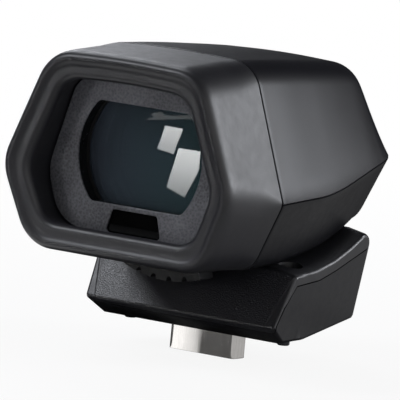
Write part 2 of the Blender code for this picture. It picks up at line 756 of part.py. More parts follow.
def make_eyecup(finish):
    """The soft hood: outer wall, rounded crest, groove, ridge, funnel, shelf and a thin sleeve."""
    walls = ((0.0, 0.0), (0.45, 0.0), (EYECUP_SHOULDER_SHARE, 0.0), (EYECUP_ROUND_SHARE,
                                                                     RIM_SHOULDER_INSET),
             (1.0, RIM_CREST_INSET), (EYECUP_GROOVE_SHARE, RIM_GROOVE_INSET),
             (EYECUP_RIDGE_SHARE, RIM_RIDGE_INSET), (EYECUP_EDGE_SHARE, RIM_EDGE_INSET))
    rings = [eyecup_ring(share, depth_inset) for share, depth_inset in walls]
    funnel = plate_hexagon()
    shelf_y = PLATE_FRONT_Y + PLATE_THICKNESS
    rings.append(flat_ring(funnel, PLATE_RADII, PLATE_FRONT_Y))
    rings.append(flat_ring(funnel, PLATE_RADII, shelf_y))
    sleeve = inset(seam_hexagon(), EYECUP_WALL)
    sleeve_radii = [radius - EYECUP_WALL / 2 for radius in SEAM_RADII]
    rings.append(flat_ring(sleeve, sleeve_radii, shelf_y))
    rings.append(flat_ring(sleeve, sleeve_radii, BODY_SEAM_Y - FIT_GAP / 2))
    smooth(object_from("eyecup", loft_shape(rings, caps=False), finish), 50)


def sensor_outline(gap):
    """The tapered opening of the eye sensor, grown by a gap."""
    top = AXIS_HEIGHT - SENSOR_TOP_DROP
    low = top - SENSOR_HEIGHT
    corners = [Vector((SENSOR_TOP_HALF, top)), Vector((SENSOR_LOW_HALF, low)),
               Vector((-SENSOR_LOW_HALF, low)), Vector((-SENSOR_TOP_HALF, top))]
    return rounded(inset(corners, -gap), [SENSOR_RADIUS] * len(corners), ARC_STEPS // 2)


def window_outline(radius, half_height, steps=LENS_STEPS):
    """A circle with its top and bottom cut flat, about the optical axis."""
    turn = math.asin(half_height / radius)
    points = []
    for start in (-turn, math.pi - turn):
        for step in range(steps // 2 + 1):
            angle = start + 2 * turn * step / (steps // 2)
            points.append(Vector((radius * math.cos(angle), AXIS_HEIGHT + radius * math.sin(angle))))
    return points


def make_plate(finish_plate, finish_window, finish_chip, finish_board):
    """The plate round the window, with the eye sensor behind its own dark window."""
    corners = inset(plate_hexagon(), FIT_GAP)
    rear = PLATE_FRONT_Y + PLATE_THICKNESS
    plate = object_from("eyepiece_plate",
                        loft_shape([flat_ring(corners, PLATE_RADII, PLATE_FRONT_Y),
                                    flat_ring(corners, PLATE_RADII, rear)]), finish_plate)
    window = prism("cut_window", window_outline(WINDOW_RADIUS, WINDOW_HALF_HEIGHT), "Y",
                   PLATE_FRONT_Y - CUT_OVERRUN, rear + CUT_OVERRUN)
    boolean(plate, window)
    boolean(plate, prism("cut_sensor", sensor_outline(FIT_GAP), "Y",
                         PLATE_FRONT_Y - CUT_OVERRUN, rear + CUT_OVERRUN))
    front = PLATE_FRONT_Y + SENSOR_WINDOW_SINK
    prism("sensor_window", sensor_outline(0), "Y", front, front + SENSOR_WINDOW_THICKNESS, finish_window)
    middle = AXIS_HEIGHT - SENSOR_TOP_DROP - SENSOR_HEIGHT / 2
    chip = Vector(SENSOR_CHIP_HALF)
    board = Vector(SENSOR_BOARD_HALF)
    chip_y = front + SENSOR_WINDOW_THICKNESS + FIT_GAP + chip.y
    board_y = chip_y + chip.y + FIT_GAP + board.y
    block("proximity_sensor", (0, chip_y, middle), chip, finish_chip)
    block("sensor_board", (0, board_y, middle), board, finish_board)


# Eyepiece frame and lenses


def make_frame(finish):
    """The front bulkhead with its skirt inside the eyecup and covers, and the tube for the lens carrier."""
    front = PLATE_FRONT_Y + PLATE_THICKNESS + FIT_GAP
    rear = BODY_SEAM_Y + FRAME_REACH_PAST_SEAM
    outside = inset(seam_hexagon(), EYECUP_WALL + 2 * FIT_GAP)
    inside = inset(seam_hexagon(), EYECUP_WALL + 2 * FIT_GAP + FRAME_SKIRT_WALL)
    radii = [radius - EYECUP_WALL / 2 for radius in SEAM_RADII]
    frame = object_from("eyepiece_frame",
                        loft_shape([flat_ring(outside, radii, front), flat_ring(outside, radii,
                                                                                rear)]), finish)
    boolean(frame, object_from("cut_frame_inside",
                               loft_shape([flat_ring(inside, radii, front + FRAME_BULKHEAD),
                                           flat_ring(inside, radii, rear + CUT_OVERRUN)])))
    centre = (0, 0, AXIS_HEIGHT)
    tube_inner = TUBE_OUTER_RADIUS - TUBE_WALL
    ledge_front = eye_lens_rear() + FIT_GAP
    ledge_rear = ledge_front + LENS_LEDGE_LENGTH
    boolean(frame, rod("cut_tube_seat", (0, front - CUT_OVERRUN, AXIS_HEIGHT),
                       (0, front + FRAME_BULKHEAD + CUT_OVERRUN,
                        AXIS_HEIGHT), tube_inner, steps=ROUND_STEPS))
    start = front + FIT_GAP
    tube = [(EYE_LENS_RADIUS + FIT_GAP, start), (TUBE_OUTER_RADIUS, start), (TUBE_OUTER_RADIUS,
                                                                             TUBE_REAR_Y),
            (tube_inner, TUBE_REAR_Y), (tube_inner, ledge_rear), (EYE_LENS_RADIUS - LENS_LEDGE, ledge_rear),
            (EYE_LENS_RADIUS - LENS_LEDGE, ledge_front), (EYE_LENS_RADIUS + FIT_GAP, ledge_front)]
    boolean(frame, turned("join_tube", tube, centre), "UNION")
    pin_y = cam_pin_y()
    reach = CARRIER_TRAVEL + CAM_PIN_RADIUS + FIT_GAP
    boolean(frame, box("cut_pin_slot",
                       (-CAM_PIN_RADIUS - FIT_GAP, pin_y - reach, AXIS_HEIGHT + tube_inner - CUT_OVERRUN),
                       (CAM_PIN_RADIUS + FIT_GAP, pin_y + reach,
                        AXIS_HEIGHT + TUBE_OUTER_RADIUS + FIT_GAP)))
    sensor_back = AXIS_HEIGHT - SENSOR_TOP_DROP - SENSOR_HEIGHT / 2
    relief = Vector(SENSOR_BOARD_HALF) + Vector((FIT_GAP, FIT_GAP, FIT_GAP))
    boolean(frame, block("cut_sensor_relief", (0, front, sensor_back),
                         (relief.x, SENSOR_BOARD_RELIEF, relief.z)))


def eye_lens_front():
    """Where the eye lens's rim starts, behind the plate and its gasket."""
    return PLATE_FRONT_Y + PLATE_THICKNESS + GASKET_THICKNESS + 2 * FIT_GAP + EYE_LENS_BULGE / 2


def eye_lens_rear():
    """Where the eye lens's rim ends."""
    return eye_lens_front() + EYE_LENS_RIM


def cam_pin_y():
    """The cam pin sits in the middle of the diopter ring."""
    return RING_FRONT_Y + RING_WIDTH / 2


def lens_profile(radius, front, rim, bulge_front, bulge_rear, steps=3):
    """The section of a lens: a rim and two domed faces."""
    points = []
    for step in range(steps + 1):
        share = step / steps
        points.append((radius * share, front - bulge_front * (1 - share * share)))
    for step in range(steps + 1):
        share = 1 - step / steps
        points.append((radius * share, front + rim + bulge_rear * (1 - share * share)))
    return points


def make_lens(name, radius, front, rim, bulge_front, bulge_rear, finish):
    """A turned lens on the optical axis."""
    profile = lens_profile(radius, front, rim, bulge_front, bulge_rear)
    return turned(name, profile, (0, 0, AXIS_HEIGHT), finish, LENS_STEPS)


def make_eye_lens(finish_glass, finish_seal):
    """The fixed front lens, cut flat above and below, and its gasket."""
    lens = make_lens("eye_lens", EYE_LENS_RADIUS, eye_lens_front(), EYE_LENS_RIM, EYE_LENS_BULGE, 0,
                     finish_glass)
    span = EYE_LENS_RADIUS + CUT_OVERRUN
    boolean(lens, block("trim_eye_lens", (0, eye_lens_front(), AXIS_HEIGHT),
                        (span, span, EYE_LENS_HALF_HEIGHT)), "INTERSECT")
    start = PLATE_FRONT_Y + PLATE_THICKNESS + FIT_GAP
    seal = prism("window_gasket", window_outline(EYE_LENS_RADIUS, EYE_LENS_HALF_HEIGHT), "Y",
                 start, start + GASKET_THICKNESS, finish_seal)
    boolean(seal, prism("cut_gasket", window_outline(EYE_LENS_RADIUS - GASKET_WIDTH,
                                                     EYE_LENS_HALF_HEIGHT - GASKET_WIDTH), "Y",
                        start - CUT_OVERRUN, start + GASKET_THICKNESS + CUT_OVERRUN))


def make_carrier(finish_tube, finish_glass, finish_pin):
    """The sliding barrel with two lenses, a spacer, a lock ring and the cam pin."""
    centre = (0, 0, AXIS_HEIGHT)
    outer = TUBE_OUTER_RADIUS - TUBE_WALL - FIT_GAP
    inner = outer - CARRIER_WALL
    front = CARRIER_FRONT_Y
    rear = front + CARRIER_LENGTH
    turned("lens_carrier", [(inner - LENS_STOP, front), (outer, front), (outer, rear), (inner, rear),
                            (inner, front + LENS_STOP), (inner - LENS_STOP, front + LENS_STOP)],
           centre, finish_tube)
    carrier = bpy.data.objects["lens_carrier"]
    glass = inner - FIT_GAP
    first = front + LENS_STOP + FIT_GAP
    make_lens("front_element", glass, first, FRONT_ELEMENT_RIM, 0, FRONT_ELEMENT_BULGE, finish_glass)
    spacer = first + FRONT_ELEMENT_RIM + FIT_GAP
    turned("lens_spacer", ring_profile(glass - SPACER_WALL, glass, spacer, spacer + SPACER_LENGTH),
           centre, finish_tube)
    second = spacer + SPACER_LENGTH + FIT_GAP
    make_lens("rear_element", glass, second, REAR_ELEMENT_RIM, REAR_ELEMENT_BULGE, 0, finish_glass)
    lock = second + REAR_ELEMENT_RIM + FIT_GAP
    turned("lens_lock_ring", ring_profile(glass - SPACER_WALL, glass, lock, lock + LOCK_RING_LENGTH),
           centre, finish_tube)
    pin_y = cam_pin_y()
    pin_low = AXIS_HEIGHT + outer - CAM_PIN_SEAT
    boolean(carrier, rod("cut_pin_seat", (0, pin_y, pin_low - FIT_GAP), (0, pin_y,
                                                                         AXIS_HEIGHT + outer + CUT_OVERRUN),
                         CAM_PIN_RADIUS + FIT_GAP))
    rod("cam_pin", (0, pin_y, pin_low), (0, pin_y, AXIS_HEIGHT + RING_OUTER_RADIUS - FIT_GAP),
        CAM_PIN_RADIUS, finish_pin)


# Diopter ring


def arc_points(radius, start, end, steps):
    """Points round the optical axis, with angles from straight down."""
    points = []
    for step in range(steps + 1):
        angle = start + (end - start) * step / steps
        points.append(Vector((radius * math.sin(angle), AXIS_HEIGHT - radius * math.cos(angle))))
    return points


def rib_groove(angle):
    """The round-bottomed groove between two ribs of the thumb sector."""
    outward = Vector((math.sin(angle), -math.cos(angle)))
    across = Vector((math.cos(angle), math.sin(angle)))
    half = RIB_GROOVE_WIDTH / 2
    centre = Vector((0, AXIS_HEIGHT)) + outward * (THUMB_RADIUS - RIB_GROOVE_DEPTH + half)
    steps = ARC_STEPS
    turns = [math.pi * step / steps for step in range(steps + 1)]
    floor = [centre - across * (half * math.cos(turn)) - outward * (half * math.sin(turn)) for turn in turns]
    edge = Vector((0, AXIS_HEIGHT)) + outward * THUMB_RADIUS
    return [edge - across * half] + floor + [edge + across * half]


def thumb_outline():
    """The thumb sector, from its first rib to its last, and back along its inner side."""
    reach = RIB_PITCH * RIB_COUNT / 2
    start = THUMB_REST_TURN - reach
    gap = RIB_GROOVE_WIDTH / THUMB_RADIUS
    outline = []
    for index in range(RIB_COUNT):
        low = start + RIB_PITCH * index + (gap if index else 0)
        high = start + RIB_PITCH * (index + 1) - (gap if index < RIB_COUNT - 1 else 0)
        outline += arc_points(THUMB_RADIUS, low, high, 2)
        if index < RIB_COUNT - 1:
            outline += rib_groove(start + RIB_PITCH * (index + 1))
    return outline + arc_points(RING_OUTER_RADIUS - THUMB_WALL, start + 2 * reach, start, RIB_COUNT * 2)


def make_diopter_ring(finish):
    """A ring round the lens tube, with a ribbed thumb sector below and a cam groove above."""
    bore = TUBE_OUTER_RADIUS + FIT_GAP
    rear = RING_FRONT_Y + RING_WIDTH
    ring = turned("diopter_ring", ring_profile(bore, RING_OUTER_RADIUS, RING_FRONT_Y, rear), (0, 0,
                                                                                              AXIS_HEIGHT),
                  finish, ROUND_STEPS * 3 // 2)
    boolean(ring, prism("join_thumb", thumb_outline(), "Y", RING_FRONT_Y + THUMB_SIDE_INSET,
                        rear - THUMB_SIDE_INSET), "UNION")
    boolean(ring, cam_groove_cutter(bore))


def cam_groove_cutter(bore):
    """A helical slot that drives the cam pin along the axis as the ring turns."""
    half = CAM_PIN_RADIUS + FIT_GAP
    end_turn = DIOPTER_TURN + half / bore
    rate = CARRIER_TRAVEL / DIOPTER_TURN
    rings = []
    for step in range(CAM_GROOVE_STEPS + 1):
        angle = end_turn * (2 * step / CAM_GROOVE_STEPS - 1)
        middle = cam_pin_y() - rate * angle
        ring = []
        for radius, side in ((bore - FIT_GAP, -half), (RING_OUTER_RADIUS + FIT_GAP, -half),
                             (RING_OUTER_RADIUS + FIT_GAP, half), (bore - FIT_GAP, half)):
            ring.append(Vector((radius * math.sin(angle), middle + side,
                                AXIS_HEIGHT + radius * math.cos(angle))))
        rings.append(ring)
    return object_from("cut_cam_groove", loft_shape(rings))


# Display unit, chassis and boards


def soft_rectangle(half, depth, steps=ROUND_STEPS):
    """A rectangle with round corners, with as many points as a circle, about the optical axis."""
    points = []
    for step in range(steps):
        angle = math.tau * step / steps
        across = math.copysign(abs(math.cos(angle)) ** SOFT_CORNER_SHARE, math.cos(angle))
        rise = math.copysign(abs(math.sin(angle)) ** SOFT_CORNER_SHARE, math.sin(angle))
        points.append(Vector((half[0] * across, depth, AXIS_HEIGHT + half[1] * rise)))
    return points


def circle_ring(radius, depth, steps=ROUND_STEPS):
    """A circle about the optical axis."""
    return [Vector((radius * math.cos(math.tau * step / steps), depth,
                    AXIS_HEIGHT + radius * math.sin(math.tau * step / steps))) for step in range(steps)]


def make_hood(finish, finish_glass):
    """The light-tight funnel between the lens tube and the display, with the field lens."""
    front = TUBE_REAR_Y + FIT_GAP
    outer = TUBE_OUTER_RADIUS - FIT_GAP
    rear_outer = (HOOD_REAR_HALF[0] + HOOD_WALL, HOOD_REAR_HALF[1] + HOOD_WALL)
    rings = [circle_ring(outer, front), soft_rectangle(rear_outer, HOOD_REAR_Y),
             soft_rectangle(HOOD_REAR_HALF, HOOD_REAR_Y), circle_ring(outer - HOOD_WALL, front)]
    smooth(object_from("light_hood", loft_shape(rings, caps=False), finish))
    make_lens("field_lens", FIELD_LENS_RADIUS, FIELD_LENS_Y, FIELD_LENS_RIM, FIELD_LENS_BULGE, 0,
              finish_glass)


def make_display(finish_holder, finish_panel, finish_sink):
    """The small screen in its holder, with a finned metal plate behind."""
    front = HOOD_REAR_Y + FIT_GAP
    rear = front + HOLDER_THICKNESS
    panel_front = front + HOLDER_LIP + FIT_GAP
    holder = box("display_holder", (-HOLDER_HALF[0], front, AXIS_HEIGHT - HOLDER_HALF[1]),
                 (HOLDER_HALF[0], rear, AXIS_HEIGHT + HOLDER_HALF[1]), finish_holder)
    boolean(holder, box("cut_panel_pocket",
                        (-PANEL_HALF[0] - FIT_GAP, front + HOLDER_LIP,
                         AXIS_HEIGHT - PANEL_HALF[1] - FIT_GAP),
                        (PANEL_HALF[0] + FIT_GAP, rear + CUT_OVERRUN,
                         AXIS_HEIGHT + PANEL_HALF[1] + FIT_GAP)))
    boolean(holder, box("cut_panel_view",
                        (-PANEL_HALF[0] + HOLDER_LIP, front - CUT_OVERRUN,
                         AXIS_HEIGHT - PANEL_HALF[1] + HOLDER_LIP),
                        (PANEL_HALF[0] - HOLDER_LIP, rear + CUT_OVERRUN,
                         AXIS_HEIGHT + PANEL_HALF[1] - HOLDER_LIP)))
    boolean(holder, box("cut_holder_notch",
                        (-FLEX_HALF_WIDTH - FIT_GAP, panel_front - FIT_GAP, flex_height() - 2 * FIT_GAP),
                        (FLEX_HALF_WIDTH + FIT_GAP, rear + CUT_OVERRUN, AXIS_HEIGHT - PANEL_HALF[1])))
    box("display_panel", (-PANEL_HALF[0], panel_front, AXIS_HEIGHT - PANEL_HALF[1]),
        (PANEL_HALF[0], panel_front + PANEL_THICKNESS, AXIS_HEIGHT + PANEL_HALF[1]), finish_panel)
    sink_front = max(rear, panel_front + PANEL_THICKNESS) + FIT_GAP
    sink = box("display_heatsink", (-HEATSINK_HALF[0], sink_front, AXIS_HEIGHT - HEATSINK_HALF[1]),
               (HEATSINK_HALF[0], sink_front + HEATSINK_THICKNESS + HEATSINK_FIN_DEPTH,
                AXIS_HEIGHT + HEATSINK_HALF[1]), finish_sink)
    grooves = bmesh.new()
    pitch = 2 * HEATSINK_HALF[0] / HEATSINK_FIN_COUNT
    for index in range(HEATSINK_FIN_COUNT):
        middle = -HEATSINK_HALF[0] + pitch * (index + 0.5)
        low = Vector((middle - (pitch - HEATSINK_FIN_WIDTH) / 2, sink_front + HEATSINK_THICKNESS,
                      AXIS_HEIGHT - HEATSINK_HALF[1] - CUT_OVERRUN))
        high = Vector((middle + (pitch - HEATSINK_FIN_WIDTH) / 2,
                       sink_front + HEATSINK_THICKNESS + HEATSINK_FIN_DEPTH + CUT_OVERRUN,
                       AXIS_HEIGHT + HEATSINK_HALF[1] + CUT_OVERRUN))
        place = Matrix.Translation((low + high) / 2) @ Matrix.Diagonal((*(high - low), 1))
        bmesh.ops.create_cube(grooves, size=1, matrix=place)
    boolean(sink, object_from("cut_fins", grooves))
    return sink_front + HEATSINK_THICKNESS + HEATSINK_FIN_DEPTH


def flex_height():
    """The display's ribbon runs back just under the heat sink."""
    return AXIS_HEIGHT - HEATSINK_HALF[1] - FIT_GAP - FLEX_THICKNESS


def ribbon(name, route, finish, half_width=FLEX_HALF_WIDTH):
    """A flat flexible circuit along a route of (Y, Z) points."""
    upper = offset_line(route, FLEX_THICKNESS / 2)
    lower = offset_line(route, -FLEX_THICKNESS / 2)
    return prism(name, upper + list(reversed(lower)), "X", -half_width, half_width, finish)


def offset_line(points, distance):
    """Shift an open line of points sideways, to its left, with mitred corners."""
    line = [Vector(point) for point in points]
    moved = []
    for index, point in enumerate(line):
        before = line[max(index - 1, 0)]
        after = line[min(index + 1, len(line) - 1)]
        into = (point - before).normalized() if index else (after - point).normalized()
        out = (after - point).normalized() if index < len(line) - 1 else into
        side = Vector((-into.y - out.y, into.x + out.x)).normalized()
        normal = Vector((-into.y, into.x))
        moved.append(point + side * (distance / max(side.dot(normal), MITRE_LIMIT_SHARE)))
    return moved


def make_chassis(start, finish, finish_board, finish_chip, finish_flex, finish_screw):
    """The bent metal sheet behind the display, with the main board on posts and its ribbons."""
    plate_rear = start + CHASSIS_THICKNESS
    floor_top = CHASSIS_FLOOR_Z + CHASSIS_THICKNESS
    arm_rear = HINGE_Y + KNUCKLE_ARM_HALF[1]
    chassis = box("chassis", (-CHASSIS_HALF_WIDTH, start, CHASSIS_FLOOR_Z),
                  (CHASSIS_HALF_WIDTH, plate_rear, CHASSIS_TOP_Z), finish)
    boolean(chassis, box("join_chassis_floor", (-CHASSIS_HALF_WIDTH, start, CHASSIS_FLOOR_Z),
                         (CHASSIS_HALF_WIDTH, arm_rear, floor_top)), "UNION")
    ribbon_z = flex_height()
    boolean(chassis, box("cut_flex_window", (-CHASSIS_SLOT_HALF[0], start - CUT_OVERRUN,
                                             ribbon_z - CHASSIS_SLOT_HALF[1]),
                         (CHASSIS_SLOT_HALF[0], plate_rear + CUT_OVERRUN, ribbon_z + CHASSIS_SLOT_HALF[1])))
    slot = FLEX_THICKNESS / 2 + FIT_GAP
    boolean(chassis, box("cut_flex_drop", (-FLEX_HALF_WIDTH - FIT_GAP, HINGE_Y - slot,
                                           CHASSIS_FLOOR_Z - CUT_OVERRUN),
                         (FLEX_HALF_WIDTH + FIT_GAP, HINGE_Y + slot, floor_top + CUT_OVERRUN)))
    board_front = plate_rear + BOARD_STANDOFF
    board_rear = board_front + BOARD_THICKNESS
    board = box("main_board", (-BOARD_HALF_WIDTH, board_front, BOARD_LOW_Z),
                (BOARD_HALF_WIDTH, board_rear, BOARD_TOP_Z), finish_board)
    posts = bmesh.new()
    holes = bmesh.new()
    top = CHASSIS_TOP_Z - BOARD_SCREW_INSET
    for side, word in ((-1, "left"), (1, "right")):
        across = side * (CHASSIS_HALF_WIDTH - BOARD_SCREW_INSET)
        for height in (BOARD_LOW_Z + BOARD_POST_RISE, top):
            rod_shape(posts, (across, plate_rear - CHASSIS_THICKNESS / 2, height),
                      (across, board_front - FIT_GAP, height), BOARD_SCREW_HEAD_RADIUS)
        rod_shape(holes, (across, plate_rear - CHASSIS_THICKNESS / 2, top),
                  (across, board_rear + CUT_OVERRUN, top), BOARD_SCREW_RADIUS + FIT_GAP)
        screw("board_screw_" + word, (across, 0, top), board_rear + FIT_GAP, plate_rear, "Y", finish_screw,
              BOARD_SCREW_HEAD_RADIUS, BOARD_SCREW_HEAD, BOARD_SCREW_RADIUS)
    boolean(chassis, object_from("join_board_posts", posts), "UNION")
    cut = object_from("cut_board_holes", holes)
    boolean(chassis, cut)
    boolean(board, cut)
    make_board_parts(board_rear + FIT_GAP, finish_chip, finish_flex)
    panel_front = HOOD_REAR_Y + 2 * FIT_GAP + HOLDER_LIP
    panel_middle = panel_front + PANEL_THICKNESS / 2
    ribbon("display_flex", [(panel_middle, AXIS_HEIGHT - PANEL_HALF[1] - FIT_GAP),
                            (panel_middle, ribbon_z), (board_front - FIT_GAP, ribbon_z)], finish_flex)
    return floor_top


def make_board_parts(face, finish_chip, finish_flex):
    """The main chip and the ribbon socket on the rear of the main board, and the ribbon to the hinge."""
    half, thickness = MAIN_CHIP_HALF, MAIN_CHIP_THICKNESS
    block("main_chip", (0, face + thickness / 2, AXIS_HEIGHT + MAIN_CHIP_RISE), (half, thickness / 2,
                                                                                 half), finish_chip)
    socket_top = BOARD_LOW_Z + SOCKET_HEIGHT
    box("board_connector", (-FLEX_HALF_WIDTH - SOCKET_RIM, face, BOARD_LOW_Z),
        (FLEX_HALF_WIDTH + SOCKET_RIM, face + SOCKET_DEPTH, socket_top), finish_chip)
    height = BOARD_LOW_Z + SOCKET_HEIGHT / 2
    ribbon("signal_flex", [(face + SOCKET_DEPTH + FIT_GAP, height), (HINGE_Y, height),
                           (HINGE_Y, HINGE_Z + KNUCKLE_BORE_RADIUS)], finish_flex)


# Tilt hinge


def make_knuckle(floor_top, finish, finish_screw):
    """The hinge barrel of the body, its arm and the foot under the chassis, with two screws."""
    foot_top = CHASSIS_FLOOR_Z - FIT_GAP
    arm_x, arm_y = KNUCKLE_ARM_HALF
    knuckle = rod("hinge_knuckle", (-KNUCKLE_HALF_LENGTH, HINGE_Y, HINGE_Z),
                  (KNUCKLE_HALF_LENGTH, HINGE_Y, HINGE_Z), BARREL_RADIUS, finish, ROUND_STEPS)
    boolean(knuckle, box("join_arm", (-arm_x, HINGE_Y - arm_y, HINGE_Z + BARREL_RADIUS / 4),
                         (arm_x, HINGE_Y + arm_y, foot_top)), "UNION")
    boolean(knuckle, box("join_foot", (-arm_x, HINGE_Y + arm_y - KNUCKLE_FOOT_LENGTH,
                                       foot_top - KNUCKLE_FOOT_THICKNESS),
                         (arm_x, HINGE_Y + arm_y, foot_top)), "UNION")
    bore = KNUCKLE_HALF_LENGTH - KNUCKLE_END_WALL
    boolean(knuckle, rod("cut_knuckle_bore", (-bore, HINGE_Y, HINGE_Z), (bore, HINGE_Y, HINGE_Z),
                         KNUCKLE_BORE_RADIUS, steps=ROUND_STEPS // 2))
    through = KNUCKLE_HALF_LENGTH + CUT_OVERRUN
    boolean(knuckle, rod("cut_shaft_way", (-through, HINGE_Y, HINGE_Z), (through, HINGE_Y, HINGE_Z),
                         SHAFT_RADIUS + FIT_GAP))
    slot = FLEX_THICKNESS / 2 + FIT_GAP
    boolean(knuckle, box("cut_flex_way", (-FLEX_HALF_WIDTH - FIT_GAP, HINGE_Y - slot, HINGE_Z),
                         (FLEX_HALF_WIDTH + FIT_GAP, HINGE_Y + slot, foot_top + CUT_OVERRUN)))
    chassis = bpy.data.objects["chassis"]
    holes = bmesh.new()
    depth = HINGE_Y - arm_y - KNUCKLE_SCREW_INSET
    for side, word in ((-1, "left"), (1, "right")):
        across = side * KNUCKLE_SCREW_X
        rod_shape(holes, (across, depth, foot_top - KNUCKLE_FOOT_THICKNESS - CUT_OVERRUN),
                  (across, depth, floor_top + CUT_OVERRUN), SMALL_SCREW_RADIUS + FIT_GAP)
        screw("knuckle_screw_" + word, (across, depth, 0), floor_top + FIT_GAP,
              foot_top - KNUCKLE_FOOT_THICKNESS,
              "Z", finish_screw)
    cut = object_from("cut_knuckle_screws", holes)
    boolean(knuckle, cut)
    boolean(chassis, cut)


def hinge_stack():
    """Places along X, from the knuckle out: washer, ear, nut and the shaft's end."""
    washer = KNUCKLE_HALF_LENGTH + FIT_GAP
    ear = washer + WASHER_THICKNESS + FIT_GAP
    nut = ear + EAR_THICKNESS + FIT_GAP
    return washer, ear, nut, nut + NUT_THICKNESS + SHAFT_END_PROUD


def ear_outline():
    """One ear of the bracket: a foot, a leg and a round head about the hinge."""
    floor_z = bracket_floor_z()
    rear = BASE_REAR_LOW_Y - BASE_WALL - 2 * FIT_GAP
    front = rear - EAR_LEG_LENGTH
    points = [Vector((front, floor_z)), Vector((rear, floor_z))]
    for step in range(ARC_STEPS * 2 + 1):
        angle = math.radians(EAR_ARC_START + (EAR_ARC_END - EAR_ARC_START) * step / (ARC_STEPS * 2))
        points.append(Vector((HINGE_Y + EAR_RADIUS * math.cos(angle),
                              HINGE_Z + EAR_RADIUS * math.sin(angle))))
    points.append(Vector((front, HINGE_Z - EAR_SHOULDER_DROP)))
    return points


def bracket_floor_z():
    """The bracket stands on the base's inner floor at its rear end."""
    return BASE_REAR_LOW_Z + BASE_WALL + BRACKET_LIFT


def bracket_screw_y():
    """The bracket's two screws stand in the middle of its floor."""
    return BASE_REAR_LOW_Y - BASE_WALL - 2 * FIT_GAP - BRACKET_FLOOR_LENGTH / 2


def make_hinge(finish_bracket, finish_shaft, finish_washer, finish_screw):
    """The base's bracket with its two ears, the shaft, the friction washers and the nuts."""
    washer, ear, nut, end = hinge_stack()
    outline = ear_outline()
    bracket = prism("hinge_bracket", outline, "X", ear, ear + EAR_THICKNESS, finish_bracket)
    boolean(bracket, prism("join_left_ear", outline, "X", -ear - EAR_THICKNESS, -ear), "UNION")
    floor = bracket_floor_z()
    rear = outline[1].x
    boolean(bracket, box("join_bracket_floor", (-ear - EAR_THICKNESS, rear - BRACKET_FLOOR_LENGTH, floor),
                         (ear + EAR_THICKNESS, rear, floor + BRACKET_FLOOR_THICKNESS)), "UNION")
    boolean(bracket, rod("cut_ear_bores", (-end, HINGE_Y, HINGE_Z), (end, HINGE_Y, HINGE_Z),
                         SHAFT_RADIUS + FIT_GAP))
    rod("hinge_shaft", (-end, HINGE_Y, HINGE_Z), (end, HINGE_Y, HINGE_Z), SHAFT_RADIUS, finish_shaft)
    for side, word in ((-1, "left"), (1, "right")):
        section = [(radius, side * along) for radius, along in ring_profile(
            SHAFT_RADIUS + FIT_GAP, WASHER_RADIUS, washer, washer + WASHER_THICKNESS)]
        turned("friction_washer_" + word, section, (0, HINGE_Y, HINGE_Z), finish_washer, SMALL_STEPS, "X")
        section = [(radius, side * along) for radius, along in ring_profile(
            NUT_BORE_RADIUS, NUT_RADIUS, nut, nut + NUT_THICKNESS)]
        turned("shaft_nut_" + word, section, (0, HINGE_Y, HINGE_Z), finish_screw, NUT_SIDES, "X")
    holes = bmesh.new()
    for side, word in ((-1, "left"), (1, "right")):
        across = side * BRACKET_SCREW_X
        depth = bracket_screw_y()
        seat = floor + BRACKET_FLOOR_THICKNESS + FIT_GAP
        rod_shape(holes, (across, depth, floor - CUT_OVERRUN), (across, depth, seat + CUT_OVERRUN),
                  SMALL_SCREW_RADIUS + FIT_GAP)
        screw("bracket_screw_" + word, (across, depth, 0), seat, floor - BRACKET_SCREW_BITE, "Z",
              finish_screw)
    boolean(bracket, object_from("cut_bracket_screws", holes))


# Base


def base_profile(rise):
    """The base's side outline in Y and Z, with the deck and the rear barrel raised by a height."""
    points = [Vector((BASE_FLAT_END_Y, 0)), Vector((BASE_FRONT_Y, 0)), Vector((BASE_CHIN_Y, BASE_CHIN_Z)),
              Vector((BASE_BROW_Y, BASE_BROW_Z + rise))]
    points += [Vector((depth, height + rise)) for depth, height in BASE_DECK_POINTS]
    drop = DECK_RISE - rise
    for step in range(ARC_STEPS * 2 + 1):
        angle = math.radians(BARREL_ARC_START * (1 - step / (ARC_STEPS * 2)))
        points.append(Vector((HINGE_Y + BARREL_RADIUS * math.cos(angle),
                              HINGE_Z - drop + BARREL_RADIUS * math.sin(angle))))
    points.append(Vector((BASE_REAR_LOW_Y, BASE_REAR_LOW_Z)))
    return points


def base_volume(wall):
    """The base's whole shape, moved inward by a wall. Its sides flare upward and close in rearward."""
    outer = base_profile(0)
    middle = base_profile(DECK_RISE)
    if wall:
        outer = inset(outer, wall)
        middle = inset(middle, wall)

    def side(points, share):
        ring = []
        for point in points:
            across = BASE_HALF_WIDTH - wall + BASE_FLARE_SHARE * point.y - BASE_TAPER_SHARE * point.x
            ring.append(Vector((across * share, point.x, point.y)))
        return ring

    return loft_shape([side(outer, 1), side(middle, DECK_SHOULDER_SHARE), side(middle,
                                                                               -DECK_SHOULDER_SHARE),
                       side(outer, -1)])


def cover_region(shift):
    """The space above and ahead of the seam between the base's cover and shell."""
    line = offset_line(COVER_SEAM_POINTS, shift)
    line[-1] = line[-1] + (line[-1] - line[-2]).normalized() * CUT_OVERRUN
    corners = [Vector((line[-1].x, COVER_REGION_TOP_Z)), Vector((BASE_CHIN_Y - CUT_OVERRUN,
                                                                 COVER_REGION_TOP_Z)),
               Vector((BASE_CHIN_Y - CUT_OVERRUN, line[0].y))]
    span = BASE_HALF_WIDTH + 2 * CUT_OVERRUN
    return prism("cut_cover_region", line + corners, "X", -span, span)


def soften(item):
    """Round the sharp edges of a block a little."""
    step = item.modifiers.new("soft_edges", "BEVEL")
    step.width = BASE_EDGE_RADIUS
    step.segments = 2
    step.limit_method = "ANGLE"
    step.angle_limit = math.radians(35)


